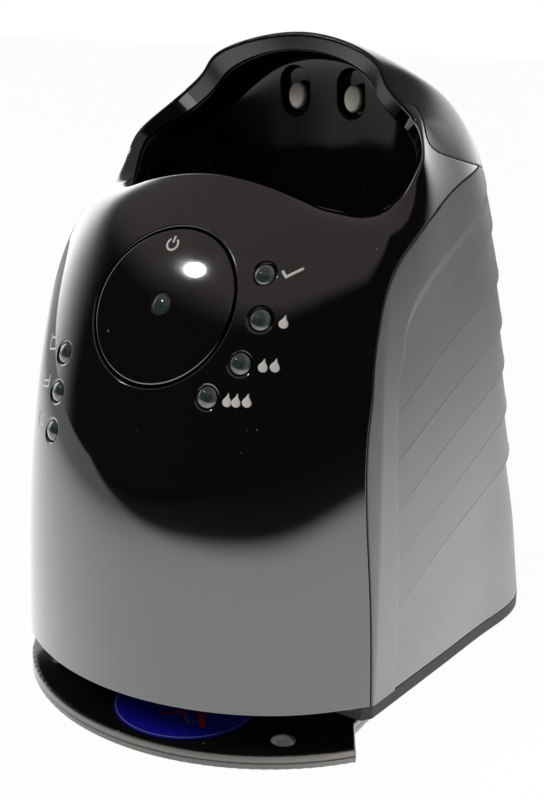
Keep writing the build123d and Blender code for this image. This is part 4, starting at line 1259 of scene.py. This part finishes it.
def make_well_liner():
    fine = np.arange(HALF_ROUND - 21.5, HALF_ROUND - 5.5, 0.28)
    after = np.arange(fine[-1] + 0.9, HALF_ROUND - 0.5, 1.4)
    half = np.concatenate([np.arange(0, fine[0], 1.8), fine, after])
    s = np.concatenate([-half[:0:-1], half, [HALF_ROUND]])
    band, throat, waist = well_ring(s, BAND), well_ring(s, THROAT), well_ring(s, WAIST)
    bottom = waist * WELL_END
    bottom[:, 2] = WELL_FLOOR
    start = band + unit(throat - band) * 0.5
    bands = [np.arange(0, 3, 0.4), np.arange(3, 9, 0.5), np.arange(9, 25, 0.16), np.arange(25, 60, 1.1)]
    t = np.concatenate([*bands, LINER_KNOTS[-1:]])
    wall = monotone(LINER_KNOTS, np.stack([start, throat, waist, bottom]), t)
    along = np.roll(wall, -1, axis=1) - np.roll(wall, 1, axis=1)
    into = np.cross(along, np.gradient(wall, axis=0))
    into /= np.linalg.norm(into, axis=2, keepdims=True)
    face = pocketed(wall)
    outer = face - into * LINER_WALL
    turn = np.arctan2((bottom[:, 1] - BASIN_Y) / BASIN_OPENING[1], bottom[:, 0] / BASIN_OPENING[0])
    across, deep = BASIN_OPENING[0] * np.cos(turn), BASIN_Y + BASIN_OPENING[1] * np.sin(turn)
    opening = np.stack([across, deep, np.full(len(turn), WELL_FLOOR)], axis=1)
    inward = unit(opening - bottom)
    lip = (start - into[0] * LINER_LIP, start, start + unit(throat - band) * LINER_LIP)
    rows = [start - into[0] * LINER_WALL]
    rows += [bend(*lip, f)[0] for f in (0.0, 0.3, 0.6, 1.0)]
    first = int(np.argmax(t > 0.5))
    last = int(np.sum(t < LINER_KNOTS[-1] - WELL_CORNER))
    rows += list(face[first:last])
    corner = bottom + inward * WELL_CORNER
    rows += [bend(face[last], bottom, corner, f)[0] for f in (0.0, 0.25, 0.5, 0.75, 1.0)]
    rows += [corner + (opening - bottom - inward * WELL_CORNER) * f for f in (0.35, 0.7)]
    drop = (opening - inward * OPENING_ROUND, opening, opening - (0, 0, OPENING_ROUND))
    rows += [bend(*drop, f)[0] for f in (0.0, 0.5, 1.0)]
    rows.append(opening - (0, 0, LINER_FLOOR))
    rows.append(bottom - inward * (LINER_WALL - 0.4) - (0, 0, LINER_FLOOR))
    rows += list(outer[first:last][::-1][::3])
    loop_piece("well_lining", rows, GLOSS_LINER, "housing", ("well_liner",))


# ---------------------------------------------------------------------------
# Start button
# ---------------------------------------------------------------------------

BUTTON_ROUND = 0.5
BUTTON_WALL = 2.0
BUTTON_SKIRT = 6.2
SKIRT_WALL = 1.3
WINDOW_GAP = 0.12
WINDOW_ROUND = 0.22
KEY_COUNT = 160


def key_ring(radius, drop=0.0):
    """Points of the skin on a circle of the button's plane, sunk along its axis."""
    points, _ = front_points(*circle((0, 0), radius, KEY_COUNT))
    return points - BUTTON_AXIS * drop


def above_skirt(ring):
    """Height of a ring's points above the skirt's foot."""
    return ((ring - BUTTON_AT) @ BUTTON_AXIS + BUTTON_SKIRT)[:, None]


def make_start_button():
    """The key follows the front's curve: window hole, face, rounded edge, skirt and its inner side."""
    hole_r = WINDOW_R + WINDOW_GAP
    rows = [key_ring(hole_r, drop) for drop in (3.0, 1.0, 0.3)]
    for a in (0.35 * math.pi / 2, 0.7 * math.pi / 2, 1.0 * math.pi / 2):
        rows.append(key_ring(hole_r + WINDOW_ROUND * (1 - math.cos(a)), WINDOW_ROUND * (1 - math.sin(a))))
    edge = BUTTON_R - BUTTON_ROUND
    rows += [key_ring(radius) for radius in np.linspace(hole_r + 0.8, edge - 0.3, 16)]
    for a in np.linspace(0, math.pi / 2, 6):
        rows.append(key_ring(edge + BUTTON_ROUND * math.sin(a), BUTTON_ROUND * (1 - math.cos(a))))
    outer, lip = key_ring(BUTTON_R), key_ring(BUTTON_R - SKIRT_WALL)
    rows += [outer - BUTTON_AXIS * above_skirt(outer) * share for share in (0.3, 0.6, 1.0)]
    rows.append(lip - BUTTON_AXIS * above_skirt(lip))
    rows.append(lip - BUTTON_AXIS * BUTTON_WALL)
    rows += [key_ring(radius, BUTTON_WALL) for radius in (12.0, 6.0)]
    loop_piece("start_key", rows[::-1], GLOSS_BLACK, "start_button", ("start_button",))


# ---------------------------------------------------------------------------
# Lenses and contact heads
# ---------------------------------------------------------------------------


def open_socket(sockets, name):
    """The socket of that name that the node's settings leave in use."""
    return [socket for socket in sockets if socket.name == name and socket.enabled][0]


def planting():
    """Node group: plants a form on every point, its z along the point's axis, turned at random."""
    group = bpy.data.node_groups.new("plant_on_points", "GeometryNodeTree")
    for label, kind in (
        ("Points", "Geometry"), ("Form", "Object"), ("Scale", "Float"), ("Turn", "Float"), ("Seed", "Int"),
        ("Finish", "Material"),
    ):  # fmt: skip
        group.interface.new_socket(label, in_out="INPUT", socket_type="NodeSocket" + kind)
    group.interface.new_socket("Planted", in_out="OUTPUT", socket_type="NodeSocketGeometry")
    given = group.nodes.new("NodeGroupInput").outputs
    axis = add_node(group, "GeometryNodeInputNamedAttribute", {"Name": "axis"}, data_type="FLOAT_VECTOR")
    upright = {"Vector": axis.outputs["Attribute"]}
    stand = add_node(group, "FunctionNodeAlignRotationToVector", upright, axis="Z").outputs["Rotation"]
    chance = add_node(group, "FunctionNodeRandomValue", {"Seed": given["Seed"]}, data_type="FLOAT")
    feed(group, given["Turn"], open_socket(chance.inputs, "Max"))
    about = add_node(group, "ShaderNodeCombineXYZ", {"Z": open_socket(chance.outputs, "Value")})
    turned = {"Rotation": stand, "Rotate By": about.outputs["Vector"]}
    spin = add_node(group, "FunctionNodeRotateRotation", turned, rotation_space="LOCAL").outputs["Rotation"]
    form = add_node(group, "GeometryNodeObjectInfo", {"Object": given["Form"]}).outputs["Geometry"]
    inputs = {"Points": given["Points"], "Instance": form, "Rotation": spin, "Scale": given["Scale"]}
    plant = add_node(group, "GeometryNodeInstanceOnPoints", inputs).outputs["Instances"]
    real = add_node(group, "GeometryNodeRealizeInstances", {"Geometry": plant}).outputs["Geometry"]
    inputs = {"Geometry": real, "Material": given["Finish"]}
    coloured = add_node(group, "GeometryNodeSetMaterial", inputs).outputs["Geometry"]
    feed(group, coloured, group.nodes.new("NodeGroupOutput").inputs["Planted"])
    return group


PLANTING = planting()


def set_input(modifier, label, value):
    for item in modifier.node_group.interface.items_tree:
        if item.item_type == "SOCKET" and item.in_out == "INPUT" and item.name == label:
            modifier[item.identifier] = value


def planted_piece(name, places, axes, form, material, body, replaces):
    """A piece made of one form, planted at each place with its z along the place's axis."""
    points, faces = form
    shape = bpy.data.meshes.new(name + "_form")
    shape.from_pydata((np.asarray(points) * MM).tolist(), [], faces)
    shape.shade_smooth()
    shape.set_sharp_from_angle(angle=math.radians(40))
    model = new_object(name + "_form", shape)
    data = bpy.data.meshes.new(name + "_places")
    data.from_pydata(((np.asarray(places) + (0, CENTRE_Y, 0)) * MM).tolist(), [], [])
    axis = data.attributes.new("axis", "FLOAT_VECTOR", "POINT")
    axis.data.foreach_set("vector", np.asarray(axes).ravel())
    carrier = new_object(name + "_places", data)
    modifier = carrier.modifiers.new("plant", "NODES")
    modifier.node_group = PLANTING
    given = {"Form": model, "Scale": 1.0, "Turn": 0.0, "Seed": 7, "Finish": material}
    for label, value in given.items():
        set_input(modifier, label, value)
    bpy.context.view_layer.update()
    graph = bpy.context.evaluated_depsgraph_get()
    made = bpy.data.meshes.new_from_object(carrier.evaluated_get(graph), depsgraph=graph)
    carrier.modifiers.remove(modifier)
    bpy.data.objects.remove(carrier)
    bpy.data.objects.remove(model)
    made.name = name
    settle(new_object(name, made), body, replaces)


def turned_form(profile, count=48, across=1.0):
    """A closed form from an outline of (radius, height), from its top's middle to its foot's."""
    (_, top), *rows, (_, foot) = profile
    turn = np.linspace(0, 2 * np.pi, count, endpoint=False)
    points = [(0, 0, top)]
    for radius, height in rows:
        points += [(across * radius * c, radius * s, height) for c, s in zip(np.cos(turn), np.sin(turn))]
    points.append((0, 0, foot))
    faces = []
    for j in range(count):
        k = (j + 1) % count
        faces.append((0, 1 + j, 1 + k))
        for i in range(len(rows) - 1):
            a, b = 1 + i * count, 1 + (i + 1) * count
            faces.append((a + j, b + j, b + k, a + k))
        a = 1 + (len(rows) - 1) * count
        faces.append((a + j, len(points) - 1, a + k))
    return points, faces


# radius, how high the dome stands, how far its edge is sunk and how deep the plug goes
WINDOW_LENS = (WINDOW_R, 0.35, 0.12, 3.4)
LIGHT_LENS = (LIGHT_R, 0.95, 0.3, 4.0)


def make_lenses(name, centres, radius, dome, sunk, depth, body, node):
    """Domed clear plugs, their faces sunk a little below the skin."""
    places, axes = [], []
    for centre in centres:
        points, normals = front_points(*circle(centre, 0.01, 4))
        places.append(points.mean(0))
        axes.append(unit(normals.mean(0)[None])[0])
    rows = [(radius * s, dome * (1 - s**2) ** 0.8 - sunk) for s in np.linspace(0, 1, 14)]
    form = turned_form(rows + [(radius, -sunk - 0.5), (radius, -depth), (0, -depth)])
    planted_piece(name, places, axes, form, PAINTED_GLOW_LENS, body, (node,))


CONTACT_X = 8.2
CONTACT_FRONT = 21.3
CONTACT_Z = 142.7
HEAD_TALL = 3.35
HEAD_WIDE = 0.72
HEAD_FLAT = 0.78  # share of the head's radius that is nearly flat
HEAD_BACK = -2.2
STEM_R = 2.0
STEM_END = -9.0


def make_contact_heads():
    """Upright oval heads of the charging contacts, on their round stems."""
    rows = [(HEAD_TALL * HEAD_FLAT * s, -0.12 * s**2) for s in np.linspace(0, 1, 9)]
    for t in np.linspace(0.2, math.pi / 2, 6):
        rows.append((HEAD_TALL * (HEAD_FLAT + 0.22 * math.sin(t)), -0.12 - 0.75 * (1 - math.cos(t))))
    rows += [(HEAD_TALL, HEAD_BACK), (STEM_R, HEAD_BACK), (STEM_R, STEM_END), (0, STEM_END)]
    points, faces = turned_form(rows, across=HEAD_WIDE)
    points = np.array([(x, -z, y) for x, y, z in points])
    for side, name in ((1, "right"), (-1, "left")):
        body = "contact_pin_" + name
        at = points + (side * CONTACT_X, CONTACT_FRONT, CONTACT_Z)
        make_piece("contact_head_" + name, at, faces, None, CONTACT_STEEL, body, (body,))


# ---------------------------------------------------------------------------
# Printed signs and the base's printed sheet
# ---------------------------------------------------------------------------

INK = 0.035
CHECK_AT = (28.7, -33.5, 110.2)
CHECK = [(-2.0, -0.15), (-0.75, -1.35), (2.15, 1.4)]
CHECK_LINE = 0.62
DROPS_AT = (
    (30.3, -38.3, 100.4), (28.4, -42.9, 91.5), (30.7, -41.8, 91.7),
    (22.6, -47.6, 83.9), (24.5, -47, 84), (26.7, -46.1, 84.2),
)  # fmt: skip
CUPS_AT = ((1.0, (-31.6, -42.8, 87.4)), (0.5, (-31.9, -45.4, 78.9)), (0.08, (-32.1, -47.4, 69.7)))
CUP_HALF, CUP_LOW, CUP_HIGH = 1.7, -1.75, 1.75
CUP_LINE = 0.52
POWER_AT = (-2.8, -34.6, 112.8)
POWER_R = 1.45
POWER_TURNS = (128, 412)  # degrees at which its open ring starts and ends
POWER_BAR = [(0, 0.35), (0, 2.0)]
POWER_LINE = 0.5
PRINT_AT = (6.0, -40.0)
PRINT_R = 17.3
PRINT_Z = 4.42
PRINT_TOP = PRINT_Z + 0.17
PRINT_EDGE = (0.5, 0.75)  # how far within the sheet's edge its pale outline starts and ends
SHEET_HALF, PRINT_HALF = 0.16, 0.03  # half the thickness of the sheet, and of what is printed on it
ARROW_SHAFT = [(11.0, -40.9), (16.4, -47.3)]
ARROW_HEAD = [(4.6, -48.4), (7.9, -44.1), (10.2, -45.4)]
FOLD = [(9.2, -44.6), (12.3, -47.6), (13.6, -45.4)]


def stroke(points, width):
    """Outline of a line of even width through the points, with square ends."""
    points = np.array(points, float)
    ahead = np.diff(points, axis=0)
    back = np.concatenate([ahead[:1], ahead])
    ahead = np.concatenate([ahead, ahead[-1:]])
    na = unit(np.stack([-ahead[:, 1], ahead[:, 0]], axis=1))
    nb = unit(np.stack([-back[:, 1], back[:, 0]], axis=1))
    side = (na + nb) / np.maximum(1 + (na * nb).sum(1, keepdims=True), 0.3)
    left, right = points + side * width / 2, points - side * width / 2
    return [np.concatenate([right, left[::-1]])]


def drop_shape():
    """A drop: a round foot and a pointed top."""
    turn = np.radians(np.linspace(-215, 35, 26))
    foot = np.stack([0.98 * np.cos(turn), -0.45 + 0.98 * np.sin(turn)], axis=1)
    return [np.concatenate([foot, [(0.32, 0.75), (0, 1.62), (-0.32, 0.75)]])]


def cup_sign(level):
    """A cup in outline, with a line at its level."""
    brim = CUP_HIGH * 0.55
    surface = CUP_LOW + (brim - CUP_LOW) * level
    cup = [(-CUP_HALF, CUP_HIGH), (-CUP_HALF, CUP_LOW), (CUP_HALF, CUP_LOW), (CUP_HALF, brim)]
    line = [(-CUP_HALF + 0.25, surface), (CUP_HALF - 0.25, surface)]
    return [stroke(cup, CUP_LINE), stroke(line, CUP_LINE)]


def plate(shapes, lift_to, thick, step=0.5):
    """Points and faces of thin plates; lift_to carries flat points to places and normals."""
    points, faces, normals = [], [], []
    start = 0
    for shape in shapes:
        loops = [turned_loop(dense(loop, 0.35), i > 0) for i, loop in enumerate(shape)]
        low, high = loops[0].min(0), loops[0].max(0)
        inner = grid(np.arange(low[0], high[0], step), np.arange(low[1], high[1], step))
        inner = kept_inner(inner, loops, 0.2)
        triangles = fill_pattern(loops, inner)
        flat = np.concatenate([*loops, inner])
        at, normal = lift_to(flat)
        n = len(flat)
        points += [at + normal * thick, at - normal * thick]
        normals += [normal, -normal]
        faces += (triangles + start).tolist() + (triangles[:, ::-1] + start + n).tolist()
        faces += wall_faces(loops, n, 1, start)
        start += 2 * n
    return np.concatenate(points), faces, np.concatenate(normals)


def on_front_skin(flat):
    return front_points(*flat.T)


def on_floor(height):
    def lift(flat):
        up = np.zeros((len(flat), 3))
        up[:, 2] = 1
        return np.column_stack([flat, np.full(len(flat), height)]), up

    return lift


def moved(shapes, point):
    """The shapes, carried to a point of the front, in the button's plane."""
    by = in_button_plane(np.array([point], float))[0]
    return [[loop + by for loop in shape] for shape in shapes]


def make_signs():
    signs = moved([stroke(CHECK, CHECK_LINE)], CHECK_AT)
    for point in DROPS_AT:
        signs += moved([drop_shape()], point)
    for level, point in CUPS_AT:
        signs += moved(cup_sign(level), point)
    turns = np.radians(np.linspace(*POWER_TURNS, 40))
    ring = np.stack([POWER_R * np.cos(turns), POWER_R * np.sin(turns)], axis=1)
    power = moved([stroke(ring, POWER_LINE), stroke(POWER_BAR, POWER_LINE)], POWER_AT)
    for name, shapes, body in (("printed_signs", signs, "housing"), ("power_sign", power, "start_button")):
        points, faces, _ = plate(shapes, on_front_skin, INK)
        make_piece(name, points, faces, None, PRINT_WHITE, body)


def make_floor_print():
    """Round sheet on the tray's floor: its pale outline, an arrow and a drawn fold."""
    radii = (PRINT_R, *(PRINT_R - inset for inset in PRINT_EDGE))
    whole, rim, inside = (np.column_stack(circle(PRINT_AT, radius, 120)) for radius in radii)
    arrow = [stroke(ARROW_SHAFT, 1.5), stroke(ARROW_HEAD, 0.9)]
    sheets = (
        ("floor_print", [[whole]], PRINT_Z, SHEET_HALF, PRINT_BLUE, ("floor_label",)),
        ("floor_print_edge", [[rim, inside]], PRINT_TOP, PRINT_HALF, PRINT_GREY, ()),
        ("floor_print_arrow", arrow, PRINT_TOP, PRINT_HALF, PRINT_RED, ()),
        ("floor_print_fold", [stroke(FOLD, 0.45)], PRINT_TOP, PRINT_HALF, PRINT_GREY, ()),
    )
    for name, shapes, height, thick, material, replaces in sheets:
        points, faces, normals = plate(shapes, on_floor(height), thick, 1.5)
        make_piece(name, points, faces, normals, material, "base", replaces)


# ---------------------------------------------------------------------------
# Stage: floor, world and lamps
# ---------------------------------------------------------------------------

FLOOR_HALF = 4.0
GLOW_SHARE = 0.97
BACKDROP = (1.9, 1.9, 1.95)
ROOM_TINT = (1.0, 0.87, 0.86)
SOFT_LIGHT = 0.13
# name, place, aim, size, power, shows in gloss
LAMPS = (
    ("key", (-0.5, -0.9, 1.1), (0, 0, 0.08), 0.7, 11.0, False),
    ("fill", (0.95, -0.35, 0.55), (0, 0, 0.08), 0.6, 0.3, False),
    ("low_side", (0.145, 0.01, 0.006), (0.052, 0.0, 0.0), 0.1, 0.2, False),
)
SPARK_AT = (6.0, 9.0)  # place of the spark's image on the start key
SPARK_AWAY = 1.1
SPARK_SIZE = 0.055
SPARK_POWER = 0.3


def make_floor():
    """Pale floor that keeps its shadow; in gloss it ends before the object and dims far from it."""
    data = bpy.data.meshes.new("floor")
    corners = [(x * FLOOR_HALF, y * FLOOR_HALF, 0) for x, y in ((-1, -1), (1, -1), (1, 1), (-1, 1))]
    data.from_pydata(corners, [], [(0, 1, 2, 3)])
    floor = new_object("floor", data)
    material = bpy.data.materials.new("pale_floor")
    material.use_nodes = True
    tree = material.node_tree
    shader = tree.nodes["Principled BSDF"]
    shader.inputs["Base Color"].default_value = (0.86, 0.86, 0.86, 1)
    shader.inputs["Roughness"].default_value = 0.9
    shader.inputs["Specular IOR Level"].default_value = 0.0
    place = object_place(tree)
    far = add_node(tree, "ShaderNodeVectorMath", {0: place}, operation="LENGTH").outputs["Value"]
    before = ramp(tree, reach(tree, place, BEFORE), 0.24, 0.38, 1.25, 0.02, SOFT)
    light = maths(tree, "MULTIPLY", before, ramp(tree, far, 0.16, 0.8, 1.0, 0.3, SOFT))
    ray = add_node(tree, "ShaderNodeLightPath").outputs
    inputs = {"Factor": ray["Is Camera Ray"], "A": light, "B": 1.0}
    strength = add_node(tree, "ShaderNodeMix", inputs).outputs["Result"]
    glow = add_node(tree, "ShaderNodeEmission", {"Strength": strength}).outputs["Emission"]
    seen = maths(tree, "MAXIMUM", ray["Is Camera Ray"], ray["Is Glossy Ray"])
    inputs = {"Fac": maths(tree, "MULTIPLY", seen, GLOW_SHARE), 1: shader.outputs["BSDF"], 2: glow}
    mix = add_node(tree, "ShaderNodeMixShader", inputs).outputs["Shader"]
    feed(tree, mix, tree.nodes["Material Output"].inputs["Surface"])
    data.materials.append(material)


def make_world():
    """White behind the object, and for reflections a dark room with a pale ceiling before it."""
    world = bpy.data.worlds.new("studio")
    world.use_nodes = True
    tree = world.node_tree
    place = add_node(tree, "ShaderNodeTexCoord").outputs["Generated"]
    height = add_node(tree, "ShaderNodeSeparateXYZ", {"Vector": place}).outputs["Z"]
    behind = ramp(tree, reach(tree, place, BEHIND), 0.12, 0.85, 0.0, 1.0, SOFT)
    backdrop = maths(tree, "MULTIPLY", behind, ramp(tree, height, 0.36, 0.66, 1.0, 0.0, SOFT))
    ceiling = ramp(tree, height, 0.54, 0.66, 0.012, 0.18, SOFT)
    room = mixed(tree, 1.0, ceiling, ROOM_TINT, "MULTIPLY")
    shown = tree.nodes["Background"]
    feed(tree, mixed(tree, backdrop, room, BACKDROP), shown.inputs["Color"])
    ray = add_node(tree, "ShaderNodeLightPath").outputs
    level = ramp(tree, ray["Is Camera Ray"], 0.0, 1.0, SOFT_LIGHT, 1.0, SOFT)
    plain = add_node(tree, "ShaderNodeBackground", {"Color": (1, 1, 1, 1), "Strength": level})
    inputs = {"Fac": ray["Is Glossy Ray"], 1: plain.outputs["Background"], 2: shown.outputs["Background"]}
    choose = add_node(tree, "ShaderNodeMixShader", inputs).outputs["Shader"]
    feed(tree, choose, tree.nodes["World Output"].inputs["Surface"])
    bpy.context.scene.world = world


def make_lamp(name, place, aim, size, power, glossy):
    data = bpy.data.lights.new(name, "AREA")
    data.shape = "DISK"
    data.size = size
    data.energy = power
    lamp = new_object(name, data)
    lamp.location = place
    lamp.rotation_euler = (Vector(aim) - Vector(place)).to_track_quat("-Z", "Y").to_euler()
    lamp.visible_glossy = glossy


def make_spark():
    """A small lamp whose image shows on the start key."""
    places, normals = front_points(*np.array(SPARK_AT)[:, None])
    look = places[0] - np.array(CAMERA_AT)
    look /= np.linalg.norm(look)
    back = look - 2 * look.dot(normals[0]) * normals[0]
    spot = (places[0] + (0, CENTRE_Y, 0)) * MM
    make_lamp("spark", tuple(spot + back * SPARK_AWAY), tuple(spot), SPARK_SIZE, SPARK_POWER, True)


# ---------------------------------------------------------------------------
# Build
# ---------------------------------------------------------------------------

make_camera()
finish_nodes()
make_front_shell()
make_side_panels()
make_rear_cover()
make_well_liner()
make_start_button()
make_lenses("button_lens", [(0, 0)], *WINDOW_LENS, "start_button", "button_window")
make_lenses("status_lenses", STATUS_AT, *LIGHT_LENS, "housing", "status_lights")
make_lenses("level_lenses", LEVEL_AT, *LIGHT_LENS, "housing", "level_lights")
make_contact_heads()
make_signs()
make_floor_print()
make_floor()
make_world()
for lamp in LAMPS:
    make_lamp(*lamp)
make_spark()

bpy.context.scene.view_settings.view_transform = "Standard"
